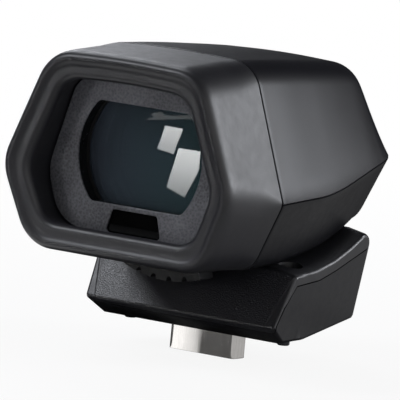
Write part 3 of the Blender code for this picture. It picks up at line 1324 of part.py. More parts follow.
def clear_hinge(target):
    """Room for the barrel, the stack of washers and nuts beside it, and the bracket's ears."""
    barrel = KNUCKLE_HALF_LENGTH + FIT_GAP
    boolean(target, rod("cut_barrel_recess", (-barrel, HINGE_Y, HINGE_Z), (barrel, HINGE_Y, HINGE_Z),
                        BARREL_RADIUS + FIT_GAP, steps=ROUND_STEPS))
    end = hinge_stack()[3] + FIT_GAP
    boolean(target, rod("cut_stack_pocket", (-end, HINGE_Y, HINGE_Z), (end, HINGE_Y, HINGE_Z),
                        NUT_RADIUS + FIT_GAP))
    ear = hinge_stack()[1]
    outline = inset(ear_outline(), -FIT_GAP)
    for side in (-1, 1):
        near = side * (ear - FIT_GAP)
        far = side * (ear + EAR_THICKNESS + FIT_GAP)
        boolean(target, prism("cut_ear_slot", outline, "X", min(near, far), max(near, far)))


def make_base(finish_cover, finish_shell, finish_screw):
    """The textured front and deck in one piece, and the shell under it, joined by two screws."""
    cover = object_from("base_cover", base_volume(0), finish_cover)
    shell = object_from("base_shell", base_volume(0), finish_shell)
    soften(cover)
    soften(shell)
    boolean(cover, cover_region(FIT_GAP / 2), "INTERSECT")
    boolean(shell, cover_region(-FIT_GAP / 2))
    boolean(shell, object_from("cut_base_cavity", base_volume(BASE_WALL)))
    clear_hinge(cover)
    clear_hinge(shell)
    posts = bmesh.new()
    post_bores = bmesh.new()
    post_chambers = bmesh.new()
    access = bmesh.new()
    seat = screw_seat_z()
    for side in (-1, 1):
        across = side * SCREW_X
        rod_shape(posts, (across, SCREW_Y, BASE_WALL / 2), (across, SCREW_Y, seat), SCREW_POST_RADIUS)
        rod_shape(post_bores, (across, SCREW_Y, -CUT_OVERRUN), (across, SCREW_Y, seat + CUT_OVERRUN),
                  SCREW_RADIUS + FIT_GAP)
        rod_shape(post_chambers, (across, SCREW_Y, -CUT_OVERRUN), (across, SCREW_Y, clip_top_z() + FIT_GAP),
                  CLIP_RADIUS + FIT_GAP)
        rod_shape(access, (across, SCREW_Y, seat), (across, SCREW_Y, COVER_REGION_TOP_Z),
                  SCREW_ACCESS_RADIUS)
    boolean(shell, object_from("join_screw_posts", posts), "UNION")
    boolean(shell, object_from("cut_screw_bores", post_bores))
    boolean(shell, object_from("cut_clip_chambers", post_chambers))
    boolean(cover, object_from("cut_screw_access", access))
    make_base_screws(cover, shell, finish_screw)
    seat_bracket(shell)
    make_plug_opening(shell)


def seat_bracket(shell):
    """Two bosses on the shell's floor that the bracket stands on and is screwed to."""
    bosses = bmesh.new()
    holes = bmesh.new()
    depth = bracket_screw_y()
    top = bracket_floor_z() - FIT_GAP
    for side in (-1, 1):
        across = side * BRACKET_SCREW_X
        rod_shape(bosses, (across, depth, BASE_REAR_LOW_Z), (across, depth, top), HOUSING_BOSS_RADIUS)
        rod_shape(holes, (across, depth, top - BRACKET_SCREW_BITE), (across, depth, top + CUT_OVERRUN),
                  SMALL_SCREW_RADIUS + FIT_GAP)
    boolean(shell, object_from("join_bracket_bosses", bosses), "UNION")
    boolean(shell, object_from("cut_boss_holes", holes))


def make_base_screws(cover, shell, finish):
    """Two screws from below that hold the cover to the shell, in posts of both."""
    low_posts = bmesh.new()
    high_posts = bmesh.new()
    low_holes = bmesh.new()
    high_holes = bmesh.new()
    counterbores = bmesh.new()
    seat = BASE_SCREW_SEAT_Z
    split = BASE_POST_SPLIT_Z
    hole = SMALL_SCREW_RADIUS + FIT_GAP
    for side, word in ((-1, "left"), (1, "right")):
        across = side * BASE_SCREW_X
        rod_shape(low_posts, (across, BASE_SCREW_Y, BASE_WALL), (across, BASE_SCREW_Y, split - FIT_GAP / 2),
                  HOUSING_BOSS_RADIUS)
        rod_shape(high_posts, (across, BASE_SCREW_Y, split + FIT_GAP / 2),
                  (across, BASE_SCREW_Y, BASE_BROW_Z), HOUSING_BOSS_RADIUS)
        rod_shape(counterbores, (across, BASE_SCREW_Y, -CUT_OVERRUN), (across, BASE_SCREW_Y,
                                                                       seat + FIT_GAP),
                  SMALL_HEAD_RADIUS + FIT_GAP)
        rod_shape(low_holes, (across, BASE_SCREW_Y, seat), (across, BASE_SCREW_Y, split + CUT_OVERRUN),
                  hole)
        rod_shape(high_holes, (across, BASE_SCREW_Y, split - CUT_OVERRUN),
                  (across, BASE_SCREW_Y, split + SMALL_SCREW_LENGTH + FIT_GAP), hole)
        screw("base_screw_" + word, (across, BASE_SCREW_Y, 0), seat, split + SMALL_SCREW_LENGTH, "Z",
              finish)
    boolean(shell, object_from("join_low_posts", low_posts), "UNION")
    boolean(cover, object_from("join_high_posts", high_posts), "UNION")
    boolean(shell, object_from("cut_base_counterbores", counterbores))
    boolean(shell, object_from("cut_low_holes", low_holes))
    boolean(cover, object_from("cut_high_holes", high_holes))


# Captive screws


def screw_seat_z():
    """The post's top: the head comes down on it at the end of the screw's travel."""
    return SCREW_HEAD_TOP_Z - SCREW_HEAD_HEIGHT - SCREW_TRAVEL - FIT_GAP


def clip_top_z():
    """The clip stops the screw from leaving upward. It lies just under the top of its chamber."""
    return screw_seat_z() - CLIP_CHAMBER_ROOF


def make_captive_screws(finish_screw, finish_clip):
    """A slotted screw on each side that turns and floats in its post, kept in by a clip."""
    top = clip_top_z()
    groove_low = top - CLIP_THICKNESS - FIT_GAP
    groove_high = top + FIT_GAP
    head_low = SCREW_HEAD_TOP_Z - SCREW_HEAD_HEIGHT
    profile = [(0, -SCREW_TIP_DROP), (SCREW_RADIUS - SCREW_TIP_CHAMFER, -SCREW_TIP_DROP),
               (SCREW_RADIUS, SCREW_TIP_CHAMFER - SCREW_TIP_DROP), (SCREW_RADIUS, groove_low),
               (SCREW_NECK_RADIUS, groove_low), (SCREW_NECK_RADIUS, groove_high), (SCREW_RADIUS,
                                                                                   groove_high),
               (SCREW_RADIUS, head_low), (SCREW_HEAD_RADIUS, head_low), (SCREW_HEAD_RADIUS,
                                                                         SCREW_HEAD_TOP_Z),
               (0, SCREW_HEAD_TOP_Z)]
    clip_section = ring_profile(SCREW_NECK_RADIUS + FIT_GAP, CLIP_RADIUS, top - CLIP_THICKNESS, top)
    for side, word in ((-1, "left"), (1, "right")):
        centre = (side * SCREW_X, SCREW_Y, 0)
        screw = turned("captive_screw_" + word, profile, centre, finish_screw, SMALL_STEPS, "Z")
        reach = SCREW_HEAD_RADIUS + CUT_OVERRUN
        slot = box("cut_driver_slot_" + word, (centre[0] - reach, SCREW_Y - SCREW_SLOT_WIDTH / 2,
                                               SCREW_HEAD_TOP_Z - SCREW_SLOT_DEPTH),
                   (centre[0] + reach, SCREW_Y + SCREW_SLOT_WIDTH / 2, SCREW_HEAD_TOP_Z + CUT_OVERRUN))
        boolean(screw, slot)
        clip = turned("screw_clip_" + word, clip_section, centre, finish_clip, SMALL_STEPS, "Z")
        mouth = box("cut_clip_mouth_" + word,
                    (centre[0] - SCREW_NECK_RADIUS, SCREW_Y, top - CLIP_THICKNESS - CUT_OVERRUN),
                    (centre[0] + SCREW_NECK_RADIUS, SCREW_Y + CLIP_RADIUS + CUT_OVERRUN, top + CUT_OVERRUN))
        boolean(clip, mouth)


# Plug and its board


def plug_outline(grow):
    """The plug's rounded outline in X and Y, grown by a gap."""
    across = PLUG_HALF_WIDTH + grow
    depth = PLUG_HALF_DEPTH + grow
    corners = [Vector((across, depth)), Vector((across, -depth)), Vector((-across, -depth)),
               Vector((-across, depth))]
    return rounded(corners, [PLUG_RADIUS + grow] * len(corners))


def make_plug_opening(shell):
    """The way through the base's floor for the plug, with a groove for its seal."""
    boolean(shell, prism("cut_plug_way", plug_outline(FIT_GAP), "Z", -CUT_OVERRUN, BASE_WALL + CUT_OVERRUN))
    boolean(shell, prism("cut_seal_groove", plug_outline(GASKET_RIM + 2 * FIT_GAP), "Z",
                         -CUT_OVERRUN, GASKET_HEIGHT + FIT_GAP))


def contact_comb(tip):
    """The outline in X and Z of a row of contact fingers on one carrier strip."""
    root = tip + CONTACT_LENGTH
    reach = (CONTACT_COUNT - 1) / 2 * CONTACT_PITCH + CONTACT_WIDTH / 2
    points = [(-reach, root + CONTACT_WIDTH)]
    for index in range(CONTACT_COUNT):
        left = index * CONTACT_PITCH - reach
        points += [(left, root), (left, tip), (left + CONTACT_WIDTH, tip), (left + CONTACT_WIDTH, root)]
    points.append((reach, root + CONTACT_WIDTH))
    return points


def make_plug(finish_shell, finish_tongue, finish_contact, finish_seal, finish_board, finish_flex):
    """The metal plug with its tongue and contacts, its seal, and the small board it stands on."""
    shell = prism("connector_shell", plug_outline(0), "Z", -PLUG_REACH, PLUG_INNER_HEIGHT, finish_shell)
    flange_low = BASE_WALL + FIT_GAP
    boolean(shell, prism("join_flange", plug_outline(PLUG_FLANGE), "Z", flange_low,
                         flange_low + PLUG_FLANGE_THICKNESS), "UNION")
    boolean(shell, prism("cut_plug_inside", plug_outline(-PLUG_WALL), "Z", -PLUG_REACH - CUT_OVERRUN,
                         PLUG_INNER_HEIGHT + CUT_OVERRUN))
    core = plug_outline(-PLUG_WALL - FIT_GAP)
    tongue = prism("connector_tongue", core, "Z", TONGUE_FOOT_Z, PLUG_INNER_HEIGHT, finish_tongue)
    across = PLUG_HALF_WIDTH - PLUG_WALL - TONGUE_SIDE_GAP
    low = TONGUE_RECESS - PLUG_REACH
    boolean(tongue, box("join_tongue_blade", (-across, -TONGUE_HALF_DEPTH, low),
                        (across, TONGUE_HALF_DEPTH, TONGUE_FOOT_Z + TONGUE_SIDE_GAP)), "UNION")
    for side, word in ((-1, "front"), (1, "rear")):
        near = side * (TONGUE_HALF_DEPTH + FIT_GAP)
        far = near + side * CONTACT_THICKNESS
        prism("contact_row_" + word, contact_comb(low + TONGUE_SIDE_GAP / 2), "Y", min(near, far),
              max(near, far),
              finish_contact)
    seal = prism("connector_gasket", plug_outline(GASKET_RIM + FIT_GAP), "Z", 0, GASKET_HEIGHT, finish_seal)
    boolean(seal, prism("cut_seal", plug_outline(FIT_GAP), "Z", -CUT_OVERRUN, GASKET_HEIGHT + CUT_OVERRUN))
    half_x, half_y = CONNECTOR_BOARD_HALF
    low = PLUG_INNER_HEIGHT + FIT_GAP
    top = low + CONNECTOR_BOARD_THICKNESS
    box("connector_board", (-half_x, CONNECTOR_BOARD_Y - half_y, low), (half_x,
                                                                        CONNECTOR_BOARD_Y + half_y, top),
        finish_board)
    over_board = top + 2 * FIT_GAP
    over_bracket = bracket_floor_z() + BRACKET_FLOOR_THICKNESS + 2 * FIT_GAP
    ribbon("base_flex", [(CONNECTOR_BOARD_Y + half_y - BASE_FLEX_OVERLAP, over_board),
                         (BASE_FLEX_RISE_Y[0], over_board), (BASE_FLEX_RISE_Y[1], over_bracket),
                         (BASE_FLEX_BEND_Y, over_bracket),
                         (BASE_FLEX_BEND_Y,
                          HINGE_Z - BARREL_RADIUS - FIT_GAP - BASE_FLEX_END_GAP)], finish_flex)


# Joint axes


def carry(name, place, pieces):
    """An empty on a joint's axis that carries the pieces that move with it."""
    empty = bpy.data.objects.new(name, None)
    empty.empty_display_size = CUT_OVERRUN
    empty.location = place
    PARTS.objects.link(empty)
    bpy.context.view_layer.update()
    for piece in pieces:
        item = bpy.data.objects[piece]
        item.parent = empty
        item.matrix_parent_inverse = empty.matrix_world.inverted()
    return empty


def add_axes():
    """Group the pieces under the tilt axis, the optical axis and the two captive screws."""
    base = ("base_", "hinge_bracket", "hinge_shaft", "friction", "shaft_nut", "bracket_", "connector_",
            "contact_")
    optics = ("lens_", "front_element", "rear_element", "cam_pin")
    names = [item.name for item in PARTS.objects]
    moving = [name for name in names if name.startswith(optics)]
    for word, side in (("left", -1), ("right", 1)):
        place = (side * SCREW_X, SCREW_Y, 0)
        carry("screw_axis_" + word, place, ["captive_screw_" + word, "screw_clip_" + word])
    body = [name for name in names if not name.startswith(base + optics)]
    body = [name for name in body if not name.startswith(("captive", "screw_clip", "diopter"))]
    tilt = carry("tilt_axis", (0, HINGE_Y, HINGE_Z), body)
    optical = carry("optical_axis", (0, cam_pin_y(), AXIS_HEIGHT), moving + ["diopter_ring"])
    optical.parent = tilt
    optical.matrix_parent_inverse = tilt.matrix_world.inverted()


def weld_cuts():
    """Merge the doubled points that cuts leave behind."""
    for item in PARTS.objects:
        if any(step.type == "BOOLEAN" for step in item.modifiers):
            step = item.modifiers.new("weld", "WELD")
            step.merge_threshold = MERGE_DISTANCE


def build():
    """Make every piece with its material, then the axes."""
    clear_scene()
    rubber = material("soft_black_rubber", (0.045, 0.046, 0.05), 0.62)
    shell = material("dark_satin_plastic", (0.05, 0.051, 0.055), 0.42)
    lower = material("dark_plastic", (0.04, 0.041, 0.044), 0.5)
    grain = material("beaded_plastic", (0.07, 0.071, 0.074), 0.7)
    black = material("matt_black_plastic", (0.012, 0.012, 0.013), 0.75)
    glass = material("coated_glass", (0.03, 0.07, 0.075), 0.05)
    dark_window = material("dark_window", (0.004, 0.004, 0.005), 0.08)
    steel = material("bright_steel", (0.62, 0.6, 0.57), 0.3, 1.0)
    dark_steel = material("black_steel", (0.05, 0.05, 0.052), 0.4, 1.0)
    alloy = material("grey_alloy", (0.45, 0.46, 0.47), 0.45, 1.0)
    bronze = material("bronze_washer", (0.45, 0.33, 0.18), 0.4, 1.0)
    gold = material("gold_contact", (0.8, 0.6, 0.25), 0.25, 1.0)
    board = material("circuit_board", (0.02, 0.09, 0.05), 0.5)
    chip = material("chip_black", (0.02, 0.02, 0.022), 0.6)
    amber = material("flexible_circuit", (0.32, 0.15, 0.03), 0.45)
    screen = material("screen_glass", (0.01, 0.012, 0.02), 0.08)
    make_covers(shell, lower, dark_steel)
    make_eyecup(rubber)
    make_plate(grain, dark_window, chip, board)
    make_frame(black)
    make_eye_lens(glass, rubber)
    make_carrier(black, glass, steel)
    make_diopter_ring(lower)
    make_hood(black, glass)
    sink_rear = make_display(black, screen, alloy)
    floor_top = make_chassis(sink_rear + FIT_GAP, alloy, board, chip, amber, dark_steel)
    make_knuckle(floor_top, shell, dark_steel)
    make_hinge(steel, steel, bronze, dark_steel)
    make_base(grain, lower, dark_steel)
    make_captive_screws(dark_steel, steel)
    make_plug(steel, black, gold, rubber, board, amber)
    weld_cuts()
    add_axes()


build()
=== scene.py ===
import math

import bmesh
import bpy
from mathutils import Matrix, Vector


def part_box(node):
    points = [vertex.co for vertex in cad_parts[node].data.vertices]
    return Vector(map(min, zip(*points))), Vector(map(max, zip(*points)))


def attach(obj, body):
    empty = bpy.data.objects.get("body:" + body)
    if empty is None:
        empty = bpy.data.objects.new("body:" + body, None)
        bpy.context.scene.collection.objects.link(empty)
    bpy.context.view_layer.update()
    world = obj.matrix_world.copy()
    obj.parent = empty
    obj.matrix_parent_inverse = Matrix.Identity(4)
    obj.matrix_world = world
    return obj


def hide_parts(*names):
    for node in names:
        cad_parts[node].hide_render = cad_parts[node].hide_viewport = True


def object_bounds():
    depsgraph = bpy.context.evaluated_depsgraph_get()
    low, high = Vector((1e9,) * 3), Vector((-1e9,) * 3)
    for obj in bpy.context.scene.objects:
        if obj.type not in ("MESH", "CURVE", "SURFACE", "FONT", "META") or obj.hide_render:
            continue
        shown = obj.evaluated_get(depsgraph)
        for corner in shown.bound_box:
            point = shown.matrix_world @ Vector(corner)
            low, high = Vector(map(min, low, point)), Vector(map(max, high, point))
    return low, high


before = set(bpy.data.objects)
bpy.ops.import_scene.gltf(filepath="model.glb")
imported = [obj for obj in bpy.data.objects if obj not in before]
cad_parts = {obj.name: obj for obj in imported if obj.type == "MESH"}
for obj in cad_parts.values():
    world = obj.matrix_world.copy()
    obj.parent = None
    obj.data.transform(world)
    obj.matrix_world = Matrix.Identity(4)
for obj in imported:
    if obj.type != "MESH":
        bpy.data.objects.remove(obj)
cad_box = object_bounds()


# Camera. A long lens stands low at the front right of the viewfinder and is rolled a few degrees, so the
# eyecup leans to the left. It aims at the middle of the object and takes a square picture.
mm = 0.001
to_the_right = Vector((0.8217, 0.5628, 0.0899))
up_the_picture = Vector((-0.1419, 0.0492, 0.9887))
towards_the_lens = to_the_right.cross(up_the_picture)
picture_middle = Vector((-5.79, 0.26, 28.34)) * mm
camera_distance = 1610 * mm


def place_object(name, data):
    """Put an object made of a mesh, a lamp or a camera into the scene."""
    made = bpy.data.objects.new(name, data)
    bpy.context.scene.collection.objects.link(made)
    return made


camera = place_object("camera", bpy.data.cameras.new("camera"))
camera.data.lens = 630
camera.data.sensor_width = 36
camera.data.sensor_height = 36
camera.data.clip_start = 0.01
camera.data.clip_end = 20
camera.matrix_world = Matrix.Translation(picture_middle + towards_the_lens * camera_distance) @ Matrix(
    (to_the_right, up_the_picture, towards_the_lens)).transposed().to_4x4()
bpy.context.scene.camera = camera
bpy.context.scene.view_settings.view_transform = "Standard"


# Studio. A pale floor under a white room. The room is bright low down on the right, where the big panel
# stands, and dim above and on the far left, so that the black plastics keep their depth.
def plain_material(name):
    made = bpy.data.materials.new(name)
    made.use_nodes = True
    nodes = made.node_tree.nodes
    return made, nodes, made.node_tree.links, nodes["Principled BSDF"]


def sums(tree, operation, first, second):
    """One step of arithmetic on numbers or on other nodes' outputs."""
    made = tree.nodes.new("ShaderNodeMath")
    made.operation = operation
    for socket, number in zip(made.inputs, (first, second)):
        if isinstance(number, (int, float)):
            socket.default_value = number
        else:
            tree.links.new(number, socket)
    return made.outputs[0]


def spread(tree, value, low, high, to_low=0.0, to_high=1.0):
    """Stretch a value from one range to another and hold it there."""
    made = tree.nodes.new("ShaderNodeMapRange")
    made.inputs["From Min"].default_value = low
    made.inputs["From Max"].default_value = high
    for title, number in (("To Min", to_low), ("To Max", to_high)):
        if isinstance(number, (int, float)):
            made.inputs[title].default_value = number
        else:
            tree.links.new(number, made.inputs[title])
    tree.links.new(value, made.inputs["Value"])
    return made.outputs["Result"]


def axes_of(tree, node="ShaderNodeTexCoord", output="Object"):
    """The X, Y and Z of the place on the object, or of another node's output, each as a value."""
    split = tree.nodes.new("ShaderNodeSeparateXYZ")
    tree.links.new(tree.nodes.new(node).outputs[output], split.inputs[0])
    return [split.outputs[axis] for axis in "XYZ"]


def show_white(tree, shade, emitter, share, mirrored):
    """Lay white over a shader for the camera and through glass, and one brightness of it for reflections."""
    path = tree.nodes.new("ShaderNodeLightPath")
    seen = sums(tree, "MAXIMUM", path.outputs["Is Camera Ray"], path.outputs["Is Transmission Ray"])
    weight = sums(tree, "MAXIMUM", sums(tree, "MULTIPLY", seen, share), path.outputs["Is Glossy Ray"])
    white = tree.nodes.new(emitter)
    white.inputs["Color"].default_value = (1, 1, 1, 1)
    tree.links.new(spread(tree, path.outputs["Is Glossy Ray"], 0.0, 1.0, 1.0, mirrored),
                   white.inputs["Strength"])
    mix = tree.nodes.new("ShaderNodeMixShader")
    for socket, given in zip(mix.inputs, (weight, shade, white.outputs[0])):
        tree.links.new(given, socket)
    return mix.outputs[0]


def mesh_object(name, shape, finish):
    """Turn a drawn shape into an object with one material."""
    mesh = bpy.data.meshes.new(name)
    shape.to_mesh(mesh)
    shape.free()
    mesh.materials.append(finish)
    return place_object(name, mesh)


floor_paint, nodes, links, shader = plain_material("floor_paint")
tree = floor_paint.node_tree
shader.inputs["Base Color"].default_value = (0.86, 0.86, 0.87, 1)
shader.inputs["Roughness"].default_value = 0.8
shader.inputs["Specular IOR Level"].default_value = 0.1
length = nodes.new("ShaderNodeVectorMath")
length.operation = "LENGTH"
links.new(nodes.new("ShaderNodeTexCoord").outputs["Object"], length.inputs[0])
distance = length.outputs["Value"]
across, back, _ = axes_of(tree)

# how bright reflections see the floor round about: grey on the right, bright at the near left and the front
not_far = spread(tree, distance, 60 * mm, 120 * mm, 1.0, 0.03)
wide_patch = spread(tree, across, 5 * mm, 35 * mm, 0.04, 0.33)
for patch in (spread(tree, across, -23 * mm, -14 * mm, 1.4, 0.04),
              spread(tree, back, -35 * mm, -42 * mm, 0.0, 0.3)):
    wide_patch = sums(tree, "MAXIMUM", wide_patch, sums(tree, "MULTIPLY", patch, not_far))

# and how bright the plug sees it, in stripes along the line of sight: white on the left with a dark rim, dark
# on the right, grey beside the plug, and nearly black for the base, which looks down on it more steeply
sight_slant = -0.669
stripe = sums(tree, "ADD", across, sums(tree, "MULTIPLY", back, sight_slant))
plug_patch = spread(tree, stripe, -4.2 * mm, 0.8 * mm, 1.35, 0.75)
for share in (spread(tree, stripe, 0.6 * mm, 1.8 * mm, 1.0, 0.14),
              spread(tree, stripe, -9.4 * mm, -7.8 * mm, 0.08, 1.0),
              spread(tree, back, -3.0 * mm, -2.2 * mm, 1.0, 0.1)):
    plug_patch = sums(tree, "MULTIPLY", plug_patch, share)
plug_patch = sums(tree, "MAXIMUM", plug_patch, spread(tree, across, 8.5 * mm, 10.5 * mm, 0.0, 0.50))
steepness = axes_of(tree, "ShaderNodeNewGeometry", "Incoming")[2]
plug_patch = sums(tree, "MULTIPLY", plug_patch, spread(tree, steepness, 0.22, 0.36, 1.0, 0.06))
near, far = (spread(tree, distance, 52 * mm, 62 * mm, *ends) for ends in ((1.0, 0.0), (0.0, 1.0)))
mirrored = sums(tree, "ADD", sums(tree, "MULTIPLY", wide_patch, far),
                sums(tree, "MULTIPLY", plug_patch, near))
seen_white = spread(tree, distance, 80 * mm, 400 * mm, 0.90, 1.0)
links.new(show_white(tree, shader.outputs[0], "ShaderNodeEmission", seen_white, mirrored),
          nodes["Material Output"].inputs[0])
floor_gap, floor_half_width = 0.05 * mm, 4.0
floor_shape = bmesh.new()
bmesh.ops.create_grid(floor_shape, x_segments=1, y_segments=1, size=floor_half_width)
bmesh.ops.translate(floor_shape, verts=floor_shape.verts, vec=(0, 0, cad_box[0][2] - floor_gap))
floor = mesh_object("floor", floor_shape, floor_paint)

room = bpy.data.worlds.new("room")
bpy.context.scene.world = room
room.use_nodes = True
tree = room.node_tree
faint = tree.nodes["Background"]
faint.inputs["Color"].default_value = (1, 1, 1, 1)
faint.inputs["Strength"].default_value = 0.3
across, _, height = axes_of(tree, output="Generated")
on_the_right = spread(tree, across, 0.0, 0.62, 0.016, 0.8)
low_down = spread(tree, height, 0.35, 0.7, 1.0, 0.15)
room_brightness = sums(tree, "MULTIPLY", on_the_right, low_down)
tree.links.new(show_white(tree, faint.outputs[0], "ShaderNodeBackground", 1.0, room_brightness),
               tree.nodes["World Output"].inputs[0])


def soft_panel(name, place, size, watts):
    """A light panel that faces the object; its place and size are in metres."""
    lamp = bpy.data.lights.new(name, "AREA")
    lamp.shape = "RECTANGLE"
    lamp.size, lamp.size_y = size
    lamp.energy = watts
    lamp.color = (0.915, 0.94, 1.0)
    panel = place_object(name, lamp)
    panel.visible_camera = False
    facing = (picture_middle - Vector(place)).to_track_quat("-Z", "Y").to_matrix().to_4x4()
    panel.matrix_world = Matrix.Translation(Vector(place)) @ facing


soft_panel("right_panel", (0.58, 0.60, 0.30), (0.36, 0.36), 3.1)
soft_panel("left_back_panel", (-0.62, 0.62, 0.42), (0.26, 0.16), 0.9)
soft_panel("front_panel", (-0.50, -0.50, 0.55), (0.35, 0.35), 3.0)
soft_panel("top_panel", (-0.45, 0.32, 0.76), (0.22, 0.30), 1.0)


# Soft boxes. Three small glowing cards stand off to the front left, each cut to a slanted shape. They show as
# two slanted squares and a thin arc in the eye lens, and are brighter towards the top.
lens_face, card_distance = -29.9, 250
way_to_cards = Vector((-0.523, -0.845, -0.098))

# each card: the place in the lens where its middle shows, how strongly it glows, and its corners in mm
card_shapes = (
    ("square_card", (0.8, 46.6), 32.0,
     ((-4.0, 6.5), (9.0, 6.7), (3.7, -7.1), (-8.7, -6.1))),
    ("long_card", (12.4, 31.9), 32.0,
     ((-4.6, 11.3), (11.0, 11.8), (10.7, 2.1), (1.5, -13.4), (-11.9, -10.2))),
    ("arc_card", (0.8, 46.6), 3.0,
     ((-21.7, 6.8), (-16.1, 11.0), (-8.1, 13.3), (13.6, 14.2), (16.5, 12.9), (-4.5, 11.6), (-13.2, 9.7))),
)
for name, (across, up), glow, points in card_shapes:
    card_paint, nodes, links, shader = plain_material(name)
    middle = Vector((across, lens_face, up)) + way_to_cards * card_distance
    lit = nodes.new("ShaderNodeEmission")
    links.new(spread(card_paint.node_tree, axes_of(card_paint.node_tree)[2], (middle.z - 14) * mm,
                     (middle.z + 10) * mm, glow * 0.35, glow * 1.1), lit.inputs["Strength"])
    links.new(lit.outputs[0], nodes["Material Output"].inputs[0])
    card_shape = bmesh.new()
    corners = [card_shape.verts.new((middle + Vector((x, 0, z))) * mm) for x, z in points]
    bmesh.ops.contextual_create(card_shape, geom=corners)
    card = mesh_object(name, card_shape, card_paint)
    card.visible_camera = False


# Base shell. The lower half of the base, moulded in hard black plastic with a fine spark-eroded skin. It
# holds the plug and the captive screws, and its underside rests on the shoe of the camera.
def effect_group(name):
    """A shader group that shares one surface effect, with the same sockets for every finish. It returns the
    group, its input node, its output node and the place on the object."""
    tree = bpy.data.node_groups.new(name, "ShaderNodeTree")
    for title in ("Deep Tone", "Pale Tone"):
        tree.interface.new_socket(title, in_out="INPUT", socket_type="NodeSocketColor")
    for title in ("Polished", "Dull", "Grain Size"):
        tree.interface.new_socket(title, in_out="INPUT", socket_type="NodeSocketFloat")
    tree.interface.new_socket("Color", in_out="OUTPUT", socket_type="NodeSocketColor")
    for title in ("Roughness", "Height"):
        tree.interface.new_socket(title, in_out="OUTPUT", socket_type="NodeSocketFloat")
    place = tree.nodes.new("ShaderNodeTexCoord").outputs["Object"]
    return tree, tree.nodes.new("NodeGroupInput"), tree.nodes.new("NodeGroupOutput"), place


def noise(tree, vector, scale, detail, roughness=0.55):
    made = tree.nodes.new("ShaderNodeTexNoise")
    made.inputs["Scale"].default_value = scale
    made.inputs["Detail"].default_value = detail
    made.inputs["Roughness"].default_value = roughness
    tree.links.new(vector, made.inputs["Vector"])
    return made


def blend_tones(tree, share, first, second):
    made = tree.nodes.new("ShaderNodeMix")
    made.data_type = "RGBA"
    tree.links.new(share, made.inputs["Factor"])
    for socket, tone in ((made.inputs[6], first), (made.inputs[7], second)):
        if isinstance(tone, tuple):
            socket.default_value = (*tone, 1)
        else:
            tree.links.new(tone, socket)
    return made.outputs[2]


def weigh(tree, *pairs):
    """Add two values, each times its own share."""
    return sums(tree, "ADD", *(sums(tree, "MULTIPLY", value, share) for value, share in pairs))


def give_out(tree, given, result, tone, wear, relief):
    """Join a group's masks to its outputs. Tone goes from deep to pale, wear from polished to dull."""
    tree.links.new(blend_tones(tree, tone, given.outputs["Deep Tone"], given.outputs["Pale Tone"]),
                   result.inputs["Color"])
    tree.links.new(spread(tree, *wear, given.outputs["Polished"], given.outputs["Dull"]),
                   result.inputs["Roughness"])
    tree.links.new(relief, result.inputs["Height"])


moulded_grain, given, result, place = effect_group("moulded_grain")
flow = noise(moulded_grain, place, scale=38, detail=2).outputs["Fac"]
handled = noise(moulded_grain, place, scale=420, detail=7, roughness=0.75).outputs["Fac"]
pits = moulded_grain.nodes.new("ShaderNodeTexVoronoi")
pits.feature = "SMOOTH_F1"
pits.inputs["Smoothness"].default_value = 0.6
moulded_grain.links.new(place, pits.inputs["Vector"])
moulded_grain.links.new(given.outputs["Grain Size"], pits.inputs["Scale"])
pit_depth = spread(moulded_grain, pits.outputs["Distance"], 0.1, 0.75)
tone = spread(moulded_grain, weigh(moulded_grain, (flow, 0.75), (pit_depth, 0.25)), 0.3, 0.8)
give_out(moulded_grain, given, result, tone, (handled, 0.35, 0.68), pit_depth)


def finish_from(group, name, deep, pale, polished, dull, grain, bump, depth, metallic=0.0, shine=0.5):
    """A material whose colour, roughness and relief come from one effect group. The relief is bump strong and
    depth millimetres deep, and the grain is the finer the larger its number."""
    made, nodes, links, shader = plain_material(name)
    effect = nodes.new("ShaderNodeGroup")
    effect.node_tree = group
    for title, value in (("Deep Tone", (*deep, 1)), ("Pale Tone", (*pale, 1)), ("Polished", polished),
                         ("Dull", dull), ("Grain Size", grain)):
        effect.inputs[title].default_value = value
    relief = nodes.new("ShaderNodeBump")
    relief.inputs["Strength"].default_value = bump
    relief.inputs["Distance"].default_value = depth * mm
    links.new(effect.outputs["Height"], relief.inputs["Height"])
    links.new(relief.outputs["Normal"], shader.inputs["Normal"])
    links.new(effect.outputs["Color"], shader.inputs["Base Color"])
    links.new(effect.outputs["Roughness"], shader.inputs["Roughness"])
    shader.inputs["Metallic"].default_value = metallic
    shader.inputs["Specular IOR Level"].default_value = shine
    return made


def add_piece(name, shape, finish, body, slot, *stands_for, smooth, sharp=None, wall=0.0, bevel=0.0,
              bevel_steps=2):
    """Finish a piece drawn in millimetres: its wall, its shading and its place in the model. Edges that turn
    more than sharp degrees, or else more than smooth, are eased by a small bevel."""
    bmesh.ops.scale(shape, vec=(mm, mm, mm), verts=shape.verts)
    piece = mesh_object(name, shape, finish)
    if wall:
        thicken = piece.modifiers.new("wall", "SOLIDIFY")
        thicken.thickness = wall * mm
        thicken.offset = -1
        thicken.use_even_offset = True
    if bevel:
        edges = piece.modifiers.new("fine_edges", "BEVEL")
        edges.width = bevel * mm
        edges.segments = bevel_steps
        edges.limit_method = "ANGLE"
        edges.angle_limit = math.radians(sharp or smooth)
    piece.data.shade_smooth()
    piece.data.set_sharp_from_angle(angle=math.radians(smooth))
    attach(piece, body)
    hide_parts(*stands_for)
    return piece


